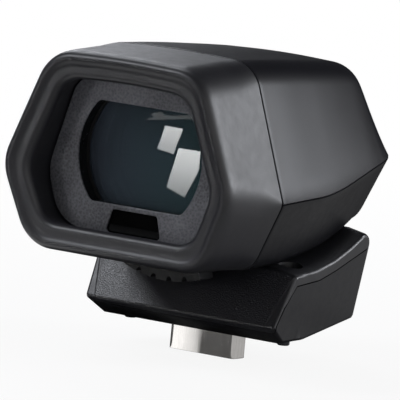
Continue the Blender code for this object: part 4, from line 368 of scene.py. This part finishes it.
def refined_copy(node, name, finish, body, slot, bevel=0.15, sharp=52):
    """Take over the shape of a CAD node, join its loose triangles, and ease its sharp edges."""
    shape = bmesh.new()
    shape.from_mesh(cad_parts[node].data)
    bmesh.ops.remove_doubles(shape, verts=shape.verts, dist=0.05 * mm)
    bmesh.ops.dissolve_limit(shape, angle_limit=math.radians(0.6), verts=shape.verts, edges=shape.edges)
    bmesh.ops.scale(shape, vec=(1 / mm, 1 / mm, 1 / mm), verts=shape.verts)
    piece = add_piece(name, shape, finish, body, slot, node, smooth=48, sharp=sharp, bevel=bevel)
    even = piece.modifiers.new("even_shading", "WEIGHTED_NORMAL")
    even.keep_sharp = True


shell_black = finish_from(moulded_grain, "shell_black", (0.006, 0.006, 0.008), (0.011, 0.011, 0.014),
                          polished=0.36, dull=0.48, grain=2600, bump=0.10, depth=0.04)
refined_copy("base_shell", "base_lower_shell", shell_black, "base", "dark_plastic")


# Base cover. The sloping front face and the deck under the body in one moulding, screwed to the shell from
# below. The front is beaded up to a step near each side, and smooth beyond it.
base_black = finish_from(moulded_grain, "base_black", (0.006, 0.006, 0.008), (0.022, 0.022, 0.027),
                         polished=0.34, dull=0.46, grain=3300, bump=0.40, depth=0.10, shine=0.8)
tree = base_black.node_tree

# the beads end at a line on either side that leans outward, and the deck behind the front is nearly smooth
across, back, up = axes_of(tree)
from_middle = weigh(tree, (sums(tree, "ABSOLUTE", across, 0.0), 1.0), (up, -0.275))
beaded = spread(tree, from_middle, 22.3 * mm, 22.6 * mm, 1.0, 0.0)
in_front = sums(tree, "MULTIPLY", beaded, spread(tree, back, -7.2 * mm, -6.6 * mm, 1.0, 0.0))
bead_height = sums(tree, "MULTIPLY", tree.nodes["Group"].outputs["Height"],
                   spread(tree, in_front, 0, 1, 0.06, 1))
tree.links.new(weigh(tree, (bead_height, 1.0), (beaded, 1.6)), tree.nodes["Bump"].inputs["Height"])
refined_copy("base_cover", "base_front_and_deck", base_black, "base", "beaded_plastic", bevel=0.3)


# Plug. A deep-drawn steel shell with a satin skin, brushed along its length. Inside it a black tongue carries
# two rows of gilded contacts, and a rubber ring seals it against the base.
drawn_metal, given, result, place = effect_group("drawn_metal")
stretched = drawn_metal.nodes.new("ShaderNodeVectorMath")
stretched.operation = "MULTIPLY"  # the brush strokes run up and down, so the noise is drawn out along Z
stretched.inputs[1].default_value = (1, 1, 0.05)
drawn_metal.links.new(place, stretched.inputs[0])
brushed = noise(drawn_metal, stretched.outputs[0], scale=2600, detail=5, roughness=0.7)
drawn_metal.links.new(given.outputs["Grain Size"], brushed.inputs["Scale"])
strokes = brushed.outputs["Fac"]
tarnish = noise(drawn_metal, place, scale=260, detail=3, roughness=0.6).outputs["Fac"]
tone = spread(drawn_metal, weigh(drawn_metal, (strokes, 0.6), (tarnish, 0.4)), 0.35, 0.65)
worn = sums(drawn_metal, "MULTIPLY", strokes, tarnish)
give_out(drawn_metal, given, result, tone, (worn, 0.15, 0.35), strokes)


def repaint(finish, *names):
    """Give the plain pieces of the model a finish in their own material slots."""
    for name in names:
        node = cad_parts[name]
        node.data.materials.clear()
        node.data.materials.append(finish)


plug_steel = finish_from(drawn_metal, "plug_steel", (0.66, 0.64, 0.62), (0.80, 0.78, 0.76),
                         polished=0.06, dull=0.12, grain=2600, bump=0.05, depth=0.02, metallic=1.0)
tongue_black = finish_from(moulded_grain, "tongue_black", (0.010, 0.010, 0.011), (0.018, 0.018, 0.019),
                           polished=0.40, dull=0.55, grain=3000, bump=0.12, depth=0.03)
gilding = finish_from(drawn_metal, "gilding", (0.72, 0.50, 0.19), (0.88, 0.66, 0.30),
                      polished=0.16, dull=0.30, grain=4200, bump=0.06, depth=0.01, metallic=1.0)
seal_rubber = finish_from(moulded_grain, "seal_rubber", (0.014, 0.014, 0.015), (0.024, 0.024, 0.026),
                          polished=0.55, dull=0.72, grain=2400, bump=0.12, depth=0.04)
refined_copy("connector_shell", "plug_shell", plug_steel, "base", "bright_steel", bevel=0.12, sharp=60)
refined_copy("connector_gasket", "plug_seal", seal_rubber, "base", "soft_black_rubber", bevel=0.15)
repaint(tongue_black, "connector_tongue")
repaint(gilding, "contact_row_front", "contact_row_rear")


# Circuit boards. Glass-fibre sheet under green solder mask; copper tracks show through it as a pattern of
# paler, slightly raised lines. One lies over the plug, one stands in the body, and one sits behind the eye
# sensor.
printed_tracks, given, result, place = effect_group("printed_tracks")
tracks = []
for turned in (0.0, math.pi / 2):
    turn = printed_tracks.nodes.new("ShaderNodeMapping")
    turn.inputs["Rotation"].default_value = (turned, 0.0, 0.35)
    printed_tracks.links.new(place, turn.inputs["Vector"])
    bricks = printed_tracks.nodes.new("ShaderNodeTexBrick")
    bricks.inputs["Mortar Size"].default_value = 0.035
    bricks.inputs["Mortar Smooth"].default_value = 0.2
    bricks.squash = 0.6
    printed_tracks.links.new(turn.outputs[0], bricks.inputs["Vector"])
    printed_tracks.links.new(given.outputs["Grain Size"], bricks.inputs["Scale"])
    tracks.append(bricks.outputs["Fac"])
copper = sums(printed_tracks, "MAXIMUM", *tracks)
weave = noise(printed_tracks, place, scale=1400, detail=5, roughness=0.6).outputs["Fac"]
tone = spread(printed_tracks, weigh(printed_tracks, (copper, 0.6), (weave, 0.5)), 0.15, 0.85)
give_out(printed_tracks, given, result, tone, (weave, 0.35, 0.65), copper)

solder_mask = finish_from(printed_tracks, "solder_mask", (0.006, 0.050, 0.026), (0.020, 0.125, 0.066),
                          polished=0.22, dull=0.38, grain=420, bump=0.35, depth=0.04)
chip_resin = finish_from(moulded_grain, "chip_resin", (0.012, 0.012, 0.013), (0.026, 0.026, 0.028),
                         polished=0.48, dull=0.66, grain=5200, bump=0.18, depth=0.02)
connector_resin = finish_from(moulded_grain, "connector_resin", (0.020, 0.020, 0.022), (0.040, 0.040, 0.043),
                              polished=0.38, dull=0.55, grain=3600, bump=0.12, depth=0.02)
repaint(solder_mask, "connector_board", "main_board", "sensor_board")
repaint(chip_resin, "main_chip", "proximity_sensor")
repaint(connector_resin, "board_connector")


# Flexible circuits. Amber film over rolled copper tracks that run side by side along the strip. One runs from
# the plug's board to the hinge, one from there to the main board, and one on from it to the screen.
side_by_side, given, result, place = effect_group("side_by_side")
lines = side_by_side.nodes.new("ShaderNodeTexWave")
lines.bands_direction = "X"
lines.inputs["Distortion"].default_value = 0.0
side_by_side.links.new(place, lines.inputs["Vector"])
side_by_side.links.new(given.outputs["Grain Size"], lines.inputs["Scale"])
laid = spread(side_by_side, lines.outputs["Fac"], 0.35, 0.6)
cloudy = noise(side_by_side, place, scale=520, detail=4, roughness=0.6).outputs["Fac"]
tone = spread(side_by_side, weigh(side_by_side, (laid, 0.7), (cloudy, 0.4)), 0.1, 0.95)
give_out(side_by_side, given, result, tone, (cloudy, 0.3, 0.7), laid)
amber_film = finish_from(side_by_side, "amber_film", (0.14, 0.045, 0.010), (0.36, 0.15, 0.035),
                         polished=0.20, dull=0.36, grain=300, bump=0.3, depth=0.03)
repaint(amber_film, "base_flex", "signal_flex", "display_flex")


# Hinge. A folded steel bracket stands on the base; a ground shaft runs through it and through the moulded
# knuckle of the body. Bronze washers, pressed by two nuts, give the tilt its friction.
ground_steel = finish_from(drawn_metal, "ground_steel", (0.50, 0.49, 0.47), (0.64, 0.63, 0.61),
                           polished=0.20, dull=0.34, grain=2000, bump=0.10, depth=0.02, metallic=1.0)
bronze = finish_from(drawn_metal, "bronze", (0.34, 0.20, 0.085), (0.52, 0.34, 0.16),
                     polished=0.26, dull=0.42, grain=1800, bump=0.12, depth=0.02, metallic=1.0)
blued_steel = finish_from(drawn_metal, "blued_steel", (0.020, 0.021, 0.024), (0.060, 0.062, 0.068),
                          polished=0.26, dull=0.44, grain=2200, bump=0.12, depth=0.02, metallic=0.85)
satin_black = finish_from(moulded_grain, "satin_black", (0.010, 0.010, 0.013), (0.016, 0.016, 0.020),
                          polished=0.28, dull=0.33, grain=2600, bump=0.10, depth=0.04, shine=0.28)
repaint(ground_steel, "hinge_shaft")
repaint(bronze, "friction_washer_left", "friction_washer_right")
repaint(blued_steel, "hinge_bracket", "shaft_nut_left", "shaft_nut_right", "bracket_screw_left",
        "bracket_screw_right", "knuckle_screw_left", "knuckle_screw_right")
refined_copy("hinge_knuckle", "hinge_barrel", satin_black, "viewfinder", "dark_satin_plastic", bevel=0.2)


# Metal sheet and screen. The chassis is bent from alloy sheet and carries the board and the optics. The small
# screen is glass in a black holder with an alloy plate behind it that takes its heat away.
sheet_alloy = finish_from(drawn_metal, "sheet_alloy", (0.36, 0.37, 0.38), (0.50, 0.51, 0.52),
                          polished=0.34, dull=0.50, grain=900, bump=0.10, depth=0.02, metallic=1.0)
matt_black = finish_from(moulded_grain, "matt_black", (0.006, 0.006, 0.006), (0.011, 0.011, 0.011),
                         polished=0.60, dull=0.78, grain=2200, bump=0.2, depth=0.05)
wiped_glass, given, result, place = effect_group("wiped_glass")
wiped = noise(wiped_glass, place, scale=160, detail=6, roughness=0.7)
wiped.inputs["Distortion"].default_value = 1.2
wiped_glass.links.new(given.outputs["Grain Size"], wiped.inputs["Scale"])
smears = wiped.outputs["Fac"]
across = axes_of(wiped_glass)[0]
# the tone runs from the deep tone on the left to the pale one on the right; on the eye lens this is painted
# light, a lighter, bluer left side that makes up for the shade of the eyecup wall there and fades to teal on
# the right
tone = sums(wiped_glass, "ADD", spread(wiped_glass, across, -16 * mm, 16 * mm, 0.0, 0.9),
            spread(wiped_glass, smears, 0.4, 0.7, 0.0, 0.1))
give_out(wiped_glass, given, result, tone, (smears, 0.4, 0.75), smears)


def glass_from(name, deep, pale, polished, dull, clear, bending):
    """A wiped glass that lets a share of the light through, and bends it."""
    made = finish_from(wiped_glass, name, deep, pale, polished, dull, grain=160, bump=0.01, depth=0.01)
    shader = made.node_tree.nodes["Principled BSDF"]
    shader.inputs["Transmission Weight"].default_value = clear
    shader.inputs["IOR"].default_value = bending
    return made


screen_glass = glass_from("screen_glass", (0.004, 0.006, 0.010), (0.008, 0.010, 0.016),
                          polished=0.02, dull=0.06, clear=0.0, bending=1.5)
repaint(sheet_alloy, "chassis", "display_heatsink")
repaint(screen_glass, "display_panel")
repaint(matt_black, "display_holder", "eyepiece_frame", "light_hood")
repaint(blued_steel, "board_screw_left", "board_screw_right")


# Moving lenses. Two ground glass elements sit in a black carrier that a steel pin drives along the tube; a
# spacer and a threaded ring hold them. A fixed field lens lies in front of the screen.
clear_glass = glass_from("clear_glass", (0.86, 0.94, 0.95), (0.93, 0.97, 0.95),
                         polished=0.01, dull=0.03, clear=1.0, bending=1.52)
repaint(clear_glass, "front_element", "rear_element", "field_lens")
repaint(matt_black, "lens_carrier", "lens_spacer", "lens_lock_ring")
repaint(ground_steel, "cam_pin")


# Focus wheel. A ring of hard plastic round the lens tube. Its ribbed sector stands out below the eyecup,
# where a finger turns it.
wheel_black = finish_from(moulded_grain, "wheel_black", (0.005, 0.005, 0.005), (0.009, 0.009, 0.010),
                          polished=0.42, dull=0.55, grain=2200, bump=0.2, depth=0.05, shine=0.3)
refined_copy("diopter_ring", "focus_wheel", wheel_black, "focus_ring", "dark_plastic", bevel=0.12)


# Upper cover. The main shell of the body, one piece of hard plastic 1.6 mm thick. It runs from the eyecup to
# a wedge-shaped nose, keeps soft upper edges, and is screwed to the lower cover from below.
axis_height = 40.6
reach_up, reach_down, reach_across = 23.6, 23.1, 32.0
seam_at, body_length = -22.6, 58.4
wall_thickness, half_seam = 1.6, 0.16

# down the body: place, top half width, top height, side half width, side height, low half width, low height,
# and how round its upper edges are. Heights are shares of the reach above or below the optical axis.
body_shares = (
    (0.000, 0.656, 1.000, 1.000, -0.299, 0.781, -1.000, 8.0),
    (0.158, 0.650, 0.992, 0.994, -0.277, 0.731, -1.000, 8.0),
    (0.312, 0.637, 0.979, 0.984, -0.255, 0.688, -0.987, 8.0),
    (0.449, 0.625, 0.962, 0.963, -0.199, 0.669, -0.939, 8.0),
    (0.586, 0.603, 0.945, 0.931, -0.117, 0.656, -0.874, 8.0),
    (0.717, 0.572, 0.924, 0.894, -0.039, 0.650, -0.753, 8.0),
    (0.795, 0.544, 0.894, 0.863, -0.004, 0.644, -0.658, 8.0),
    (0.834, 0.525, 0.835, 0.844, 0.013, 0.634, -0.632, 8.0),
    (0.873, 0.519, 0.703, 0.819, 0.025, 0.619, -0.554, 8.0),
    (0.911, 0.519, 0.525, 0.778, 0.038, 0.591, -0.446, 7.0),
    (0.943, 0.506, 0.373, 0.725, 0.047, 0.550, -0.325, 5.5),
    (0.969, 0.475, 0.246, 0.662, 0.055, 0.494, -0.199, 4.0),
    (0.990, 0.425, 0.157, 0.594, 0.059, 0.431, -0.069, 2.5),
    (1.000, 0.375, 0.114, 0.550, 0.064, 0.388, 0.000, 1.5),
)


def curve_through(rows, steps):
    """More rows between the given ones, on smooth curves that pass through them."""
    finer = []
    for index in range(len(rows) - 1):
        four = [rows[min(max(index + shift, 0), len(rows) - 1)] for shift in (-1, 0, 1, 2)]
        for step in range(steps):
            t = step / steps
            finer.append([(2 * b + (c - a) * t + (2 * a - 5 * b + 4 * c - d) * t ** 2
                           + (3 * b - a - 3 * c + d) * t ** 3) / 2 for a, b, c, d in zip(*four)])
    return finer + [list(rows[-1])]


def round_corners(corners, radii, closed=True, arc=9, flat=5):
    """Points along an outline of X and Z whose corners are rounded, each by its own radius."""
    ways = []
    for index, corner in enumerate(corners):
        before, after = corners[index - 1], corners[(index + 1) % len(corners)]
        loose_end = not closed and index in (0, len(corners) - 1)
        if loose_end or radii[index] <= 0:
            ways.append([corner.copy()] * (1 if loose_end else arc + 1))
            continue
        back, on = (before - corner), (after - corner)
        room = 0.49 * min(back.length, on.length)
        back.normalize()
        on.normalize()
        half = back.angle(on) / 2
        radius = min(radii[index], room * math.tan(half))
        centre = corner + (back + on).normalized() * radius / math.sin(half)
        first = corner + back * radius / math.tan(half) - centre
        last = corner + on * radius / math.tan(half) - centre
        sweep = first.angle(last)
        turns = [sweep * step / arc for step in range(arc + 1)]
        ways.append([centre + (math.sin(sweep - turned) * first + math.sin(turned) * last) / math.sin(sweep)
                     for turned in turns])
    points = []
    for index, way in enumerate(ways):
        points += way
        if closed or index < len(ways) - 1:
            start, end = way[-1], ways[(index + 1) % len(ways)][0]
            points += [start.lerp(end, step / flat) for step in range(1, flat)]
    return points


def wrap_skin(outlines, closed=True, loop=False):
    """Drape a grid over a row of outlines with as many points each. Closed joins the ends of each outline,
    and loop joins the last outline to the first."""
    rows = [list(outline) + list(outline[:1]) * closed for outline in outlines]
    rows += rows[:1] * loop
    across, along = len(rows[0]) - 1, len(rows) - 1
    shape = bmesh.new()
    bmesh.ops.create_grid(shape, x_segments=across, y_segments=along, size=0.5)
    for corner in shape.verts:
        corner.co = rows[round((corner.co.y + 0.5) * along)][round((corner.co.x + 0.5) * across)]
    bmesh.ops.remove_doubles(shape, verts=shape.verts, dist=0.002)
    bmesh.ops.dissolve_degenerate(shape, edges=shape.edges, dist=0.002)
    bmesh.ops.recalc_face_normals(shape, faces=shape.faces)
    return shape


def body_corners(row):
    """The section of the body at one row: where it stands, its six corners from the top right, and how round
    its upper edges are."""
    place, top_half, top, side_half, side, low_half, low, edge = row
    at = [axis_height + share * (reach_up if share > 0 else reach_down) for share in (top, side, low)]
    halves = [share * reach_across for share in (top_half, side_half, low_half)]
    right = [Vector((half, height)) for half, height in zip(halves, at)]
    left = [Vector((-point.x, point.y)) for point in reversed(right)]
    return seam_at + place * body_length, right + left, edge


def stand_up(points, depth):
    return [Vector((point.x, depth, point.y)) for point in points]


def cap_nose(shape):
    """Close the blunt tip of the nose."""
    tip = [corner for corner in shape.verts if corner.co.y > seam_at + body_length - 0.001]
    bmesh.ops.contextual_create(shape, geom=tip)


body_rows = [body_corners(row) for row in curve_through(body_shares, 5)]
side_gap, crown_rise, crown_radius = Vector((0, 0.2)), 0.8, 200
upper_rows = []
for depth, corners, edge in body_rows:
    crown = Vector((0, corners[0].y + crown_rise * (corners[0].y - axis_height) / reach_up))
    outline = [corners[4] + side_gap, corners[5], crown, corners[0], corners[1] + side_gap]
    outline = round_corners(outline, [0, edge, crown_radius, edge, 0], closed=False)
    upper_rows.append(stand_up(outline, max(depth, seam_at + half_seam)))
upper_shape = wrap_skin(upper_rows, closed=False)
cap_nose(upper_shape)
bmesh.ops.recalc_face_normals(upper_shape, faces=upper_shape.faces)
add_piece("upper_cover_shell", upper_shape, satin_black, "viewfinder", "dark_satin_plastic", "upper_cover",
          wall=wall_thickness, bevel=0.18, smooth=42)


# Lower cover. The belly of the body in the same hard plastic, a little more matt. It has a wide slot for the
# focus wheel behind the eyecup, a window for the hinge arm, and four sunk screws.
belly_radius = 5
lower_rows = []
for depth, corners, edge in body_rows:
    outline = [corners[1] - side_gap, corners[2], corners[3], corners[4] - side_gap]
    outline = round_corners(outline, [0, belly_radius, belly_radius, 0], closed=False, flat=9)
    lower_rows.append(stand_up(outline, max(depth, seam_at + half_seam)))
lower_shape = wrap_skin(lower_rows, closed=False)
cap_nose(lower_shape)


def with_corners(faces):
    """Some faces together with their edges and corners, ready to be cut."""
    parts = set(faces)
    for face in faces:
        parts.update(face.edges)
        parts.update(face.verts)
    return parts


def cut_window(shape, low, high, margin=6):
    """Cut a clean rectangular window through a skin, where it lies between two corners."""
    for axis in range(3):
        for level in (low[axis], high[axis]):
            facing = Vector([float(side == axis) for side in range(3)])
            close = [face for face in shape.faces if all(
                low[k] - margin < face.calc_center_median()[k] < high[k] + margin for k in range(3))]
            bmesh.ops.bisect_plane(shape, geom=list(with_corners(close)), plane_co=facing * level,
                                   plane_no=facing, dist=0.001)
    inside = [face for face in shape.faces
              if all(low[k] < face.calc_center_median()[k] < high[k] for k in range(3))]
    bmesh.ops.delete(shape, geom=inside, context="FACES")


wheel_slot = (-20.4, -20.8, 10), (20.4, -14.0, 21)
hinge_window = (-10.9, 21.35, 15), (10.9, 26.15, 31)
cut_window(lower_shape, *wheel_slot)
cut_window(lower_shape, *hinge_window)
bmesh.ops.recalc_face_normals(lower_shape, faces=lower_shape.faces)


def bore_hole(shape, low, high, play=0.25, sides=14, margin=5, skin_above=4):
    """Bore an upright hole for a screw through a skin; the screw's own box gives its place and width."""
    middle, radius = (low + high) / 2, (high.x - low.x) / 2 + play

    def from_middle(face):
        return (face.calc_center_median() - middle).xy.length

    geometry = with_corners([face for face in shape.faces if from_middle(face) < radius + margin])
    for side in range(sides):
        out = Vector((math.cos(math.tau * side / sides), math.sin(math.tau * side / sides), 0))
        cut = bmesh.ops.bisect_plane(shape, geom=list(geometry), plane_co=middle + out * radius, plane_no=out,
                                     dist=0.001)
        geometry = set(cut["geom"])
    inside = [face for face in shape.faces if face.calc_center_median().z < middle.z + skin_above
              and from_middle(face) < radius * 0.96]
    bmesh.ops.delete(shape, geom=inside, context="FACES")


for count in (1, 2, 3, 4):
    low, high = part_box("housing_screw_%d" % count)
    bore_hole(lower_shape, Vector(low) / mm, Vector(high) / mm)
belly_black = finish_from(moulded_grain, "belly_black", (0.005, 0.005, 0.007), (0.009, 0.009, 0.012),
                          polished=0.32, dull=0.42, grain=2600, bump=0.10, depth=0.04, shine=0.3)
add_piece("lower_cover_shell", lower_shape, belly_black, "viewfinder", "dark_plastic", "lower_cover",
          wall=wall_thickness, bevel=0.18, smooth=42)
repaint(blued_steel, "housing_screw_1", "housing_screw_2", "housing_screw_3", "housing_screw_4")


# Eyecup. A soft rubber hood moulded in one piece. Its outer wall runs on from the body, rolls over a rounded
# rim with a shallow groove inside it, and falls as a funnel to the eyepiece plate.
def six_corners(top_half, top, side_half, side, low_half, low):
    right = [Vector((top_half, top)), Vector((side_half, side)), Vector((low_half, low))]
    return right + [Vector((-point.x, point.y)) for point in reversed(right)]


def draw_in(corners, distance):
    """Move the edges of a six-cornered outline inward by a distance."""
    middle = sum(corners, Vector((0, 0))) / len(corners)
    lines = []
    for index, start in enumerate(corners):
        along = (corners[(index + 1) % len(corners)] - start).normalized()
        inward = Vector((-along.y, along.x))
        lines.append((start + inward * math.copysign(distance, distance * inward.dot(middle - start)), along))
    moved = []
    for (start, along), (other, heading) in zip([lines[-1]] + lines[:-1], lines):
        gap, cross = other - start, along.x * heading.y - along.y * heading.x
        moved.append(start + along * ((gap.x * heading.y - gap.y * heading.x) / cross))
    return moved


def crowned_outline(corners, radii, crown=0.8):
    """Round a six-cornered outline whose top edge bows up a little."""
    peak = Vector((0, corners[0].y + crown))
    return round_corners([peak] + list(corners), [400] + list(radii) + list(radii[::-1]), arc=10)


rim_corners = six_corners(21.0, 63.0, 32.0, 36.0, 24.4, 17.2)
seam_corners = body_rows[0][1]
funnel_corners, funnel_radii = six_corners(18.6, 57.8, 25.2, 34.8, 20.6, 22.1), (7, 11, 9)
seam_radii, rim_radii, sleeve_radii = (8, 3, 6), (10, 10.5, 9), (7, 2, 5)
plate_front, plate_back, sleeve_wall, overlap = -34.4, -31.0, 2.0, 0.15


def rim_place(height):
    """How far forward the rim stands. It leans back a little to the brow, and past a smooth bend at the
    temple more so to the cheek."""
    temple, furthest, brow_lean, cheek_lean, softness = 36.0, -44.15, 0.0074, 0.14, 5.0
    below = temple - height
    return furthest - brow_lean * below + cheek_lean * (below + math.hypot(below, softness)) / 2


def eyecup_section(share, drawn):
    """One outline of the eyecup, from the seam at 0 to the rim at 1, drawn in from its outer wall."""
    corners = [one.lerp(two, share) for one, two in zip(seam_corners, rim_corners)]
    grown = min(1, 3 * share)
    radii = [one + (two - one) * grown - drawn / 2 for one, two in zip(seam_radii, rim_radii)]
    outline = crowned_outline(draw_in(corners, drawn), radii)
    start = seam_at - overlap
    return [Vector((point.x, start + (rim_place(point.y) - start) * share, point.y)) for point in outline]


# the wall from the seam over the rim into the funnel: share of the way to the rim, and how far it is drawn in
wall_line = ((0.0, 0.25), (0.008, 0.06), (0.03, 0.0), (0.25, 0.0), (0.5, 0.0), (0.72, 0.0), (0.86, 0.02),
             (0.93, 0.2), (0.975, 0.6), (0.997, 1.15), (1.0, 1.7), (0.991, 2.25), (0.975, 2.8), (0.965, 3.4),
             (0.962, 4.05), (0.962, 4.7), (0.954, 5.3), (0.931, 5.85), (0.89, 6.3))
eyecup_rows = [eyecup_section(share, drawn) for share, drawn in curve_through(wall_line, 3)]
funnel_outline = crowned_outline(funnel_corners, funnel_radii)
lip, funnel_end = eyecup_rows[-1], stand_up(funnel_outline, plate_front)
funnel_steps, funnel_bow = 9, 1.1
for step in range(1, funnel_steps):
    share = step / funnel_steps
    bow = Vector((0, funnel_bow * math.sin(math.pi * share), 0))
    eyecup_rows.append([one.lerp(two, share) + bow for one, two in zip(lip, funnel_end)])
sleeve_outline = crowned_outline(draw_in(seam_corners, sleeve_wall), sleeve_radii)
eyecup_rows += [funnel_end, stand_up(funnel_outline, plate_back), stand_up(sleeve_outline, plate_back),
                stand_up(sleeve_outline, seam_at - overlap)]
eyecup_shape = wrap_skin(eyecup_rows, loop=True)
soft_black = finish_from(moulded_grain, "soft_black", (0.011, 0.011, 0.014), (0.017, 0.017, 0.022),
                         polished=0.40, dull=0.48, grain=3000, bump=0.10, depth=0.04, shine=0.75)
add_piece("eyecup_hood", eyecup_shape, soft_black, "viewfinder", "soft_black_rubber", "eyecup", smooth=50)


# Eyepiece plate. A flat moulded plate with a fine beaded face round the window. Its edges are turned over
# with a small radius, and the edge of the window is polished smooth. The eye sensor looks out below it.
def flat_plate(outlines, front, thickness):
    """A plate from its outer outline and the outlines of its openings."""
    shape = bmesh.new()
    for outline in outlines:
        ring = [shape.verts.new((point.x, front, point.y)) for point in outline]
        for index, corner in enumerate(ring):
            shape.edges.new((ring[index - 1], corner))
    bmesh.ops.remove_doubles(shape, verts=shape.verts, dist=0.002)
    bmesh.ops.triangle_fill(shape, use_beauty=True, edges=shape.edges)
    back = bmesh.ops.extrude_face_region(shape, geom=list(shape.faces), use_keep_orig=True)
    bmesh.ops.translate(shape, vec=(0, thickness, 0),
                        verts=[part for part in back["geom"] if isinstance(part, bmesh.types.BMVert)])
    bmesh.ops.recalc_face_normals(shape, faces=shape.faces)
    return shape


def window_opening(radius, half_height, ease):
    """A circle about the optical axis, cut flat above and below, with eased corners."""
    across, rise = math.sqrt((radius - ease) ** 2 - (half_height - ease) ** 2), half_height - ease
    turn = math.atan2(rise, across)
    side, quarter, half = (0, 0, radius), math.pi / 2, math.pi
    arcs = ((side, -turn, turn, 30), ((across, rise, ease), turn, quarter, 6),
            ((-across, rise, ease), quarter, half - turn, 6), (side, half - turn, half + turn, 30),
            ((-across, -rise, ease), half + turn, half + quarter, 6),
            ((across, -rise, ease), half + quarter, math.tau - turn, 6))
    points = []
    for (x, z, reach), start, end, steps in arcs:
        for angle in [start + (end - start) * step / steps for step in range(steps)]:
            points.append(Vector((x + reach * math.cos(angle), axis_height + z + reach * math.sin(angle))))
    return points


def sensor_opening(grown):
    """The outline of the eye sensor's window, wider below, and grown by a gap."""
    corners = [Vector((5.85, 27.7)), Vector((7.15, 22.9)), Vector((-7.15, 22.9)), Vector((-5.85, 27.7))]
    return round_corners(draw_in(corners, -grown), [0.55 + grown] * 4, arc=6, flat=2)


fit_gap, sensor_front, sensor_thickness = 0.3, -33.9, 1.2
plate_outline = crowned_outline(draw_in(funnel_corners, fit_gap), funnel_radii)
plate_shape = flat_plate([plate_outline, window_opening(16.9, 11.5, 2.0), sensor_opening(fit_gap)],
                         plate_front, plate_back - plate_front)
beaded_black = finish_from(moulded_grain, "beaded_black", (0.026, 0.026, 0.030), (0.160, 0.161, 0.176),
                           polished=0.42, dull=0.58, grain=1700, bump=0.75, depth=0.12)
tree = beaded_black.node_tree
effect, shader = tree.nodes["Group"], tree.nodes["Principled BSDF"]

# the wall of the window behind the face is plain black, and the edge turned over in front of it is polished
back = axes_of(tree)[1]
behind = spread(tree, back, -34.15 * mm, -33.9 * mm)
turned_edge = spread(tree, back, -34.38 * mm, -34.33 * mm, 0.0, 0.28)
tree.links.new(sums(tree, "SUBTRACT", effect.outputs["Roughness"], turned_edge), shader.inputs["Roughness"])
tree.links.new(blend_tones(tree, behind, effect.outputs["Color"], (0.004, 0.004, 0.004)),
               shader.inputs["Base Color"])
add_piece("window_plate", plate_shape, beaded_black, "viewfinder", "beaded_plastic", "eyepiece_plate",
          bevel=0.32, bevel_steps=3, smooth=48)
sensor_shape = flat_plate([sensor_opening(0)], sensor_front, sensor_thickness)
dark_glass = glass_from("dark_glass", (0.001, 0.001, 0.001), (0.002, 0.002, 0.002),
                        polished=0.03, dull=0.06, clear=0.0, bending=1.2)
add_piece("sensor_pane", sensor_shape, dark_glass, "viewfinder", "dark_window", "sensor_window",
          bevel=0.2, bevel_steps=3, smooth=48)


# Eye lens. The fixed front lens, ground to a slight dome, cut flat above and below, and coated against
# reflections. It sits behind the plate on a thin dark gasket.
lens_radius, flat_at, lens_edge, lens_dome, lens_back = 17.4, 12.4, -29.7, 0.4, -27.8
dome_steps, turn_steps = 12, 72
lens_shape = bmesh.new()
profile = [(lens_radius * step / dome_steps, lens_edge - lens_dome * (1 - (step / dome_steps) ** 2))
           for step in range(dome_steps + 1)]
profile += [(lens_radius, lens_back), (0, lens_back)]
line = [lens_shape.verts.new((radius, depth, 0)) for radius, depth in profile]
for one, two in zip(line, line[1:]):
    lens_shape.edges.new((one, two))
bmesh.ops.spin(lens_shape, geom=list(lens_shape.verts) + list(lens_shape.edges), cent=(0, 0, 0),
               axis=(0, 1, 0), angle=math.tau, steps=turn_steps, use_merge=True)
bmesh.ops.remove_doubles(lens_shape, verts=lens_shape.verts, dist=0.002)
bmesh.ops.translate(lens_shape, verts=lens_shape.verts, vec=(0, 0, axis_height))
for side in (-1, 1):
    everything = list(lens_shape.verts) + list(lens_shape.edges) + list(lens_shape.faces)
    bmesh.ops.bisect_plane(lens_shape, geom=everything, plane_co=(0, 0, axis_height + side * flat_at),
                           plane_no=(0, 0, side), clear_outer=True)
bmesh.ops.holes_fill(lens_shape, edges=[edge for edge in lens_shape.edges if edge.is_boundary])
bmesh.ops.recalc_face_normals(lens_shape, faces=lens_shape.faces)
# its tone is painted light: lighter and bluer on the left, to make up for the shade of the eyecup wall, and
# teal on the right
coated_lens = glass_from("coated_lens", (0.095, 0.115, 0.150), (0.060, 0.115, 0.122),
                         polished=0.01, dull=0.02, clear=0.6, bending=1.28)
add_piece("front_lens", lens_shape, coated_lens, "viewfinder", "coated_glass", "eye_lens", smooth=30)
repaint(matt_black, "window_gasket")


# Captive screws. Turned steel, blued black, with a slotted head and a bevelled tip. Each one floats in its
# post and a sprung clip keeps it there. Two plain screws join the shell and the cover of the base.
refined_copy("captive_screw_left", "thumb_screw_left", blued_steel, "screw_left", "bright_steel", bevel=0.1)
refined_copy("captive_screw_right", "thumb_screw_right", blued_steel, "screw_right", "bright_steel",
             bevel=0.1)
repaint(ground_steel, "screw_clip_left", "screw_clip_right")
repaint(blued_steel, "base_screw_left", "base_screw_right")
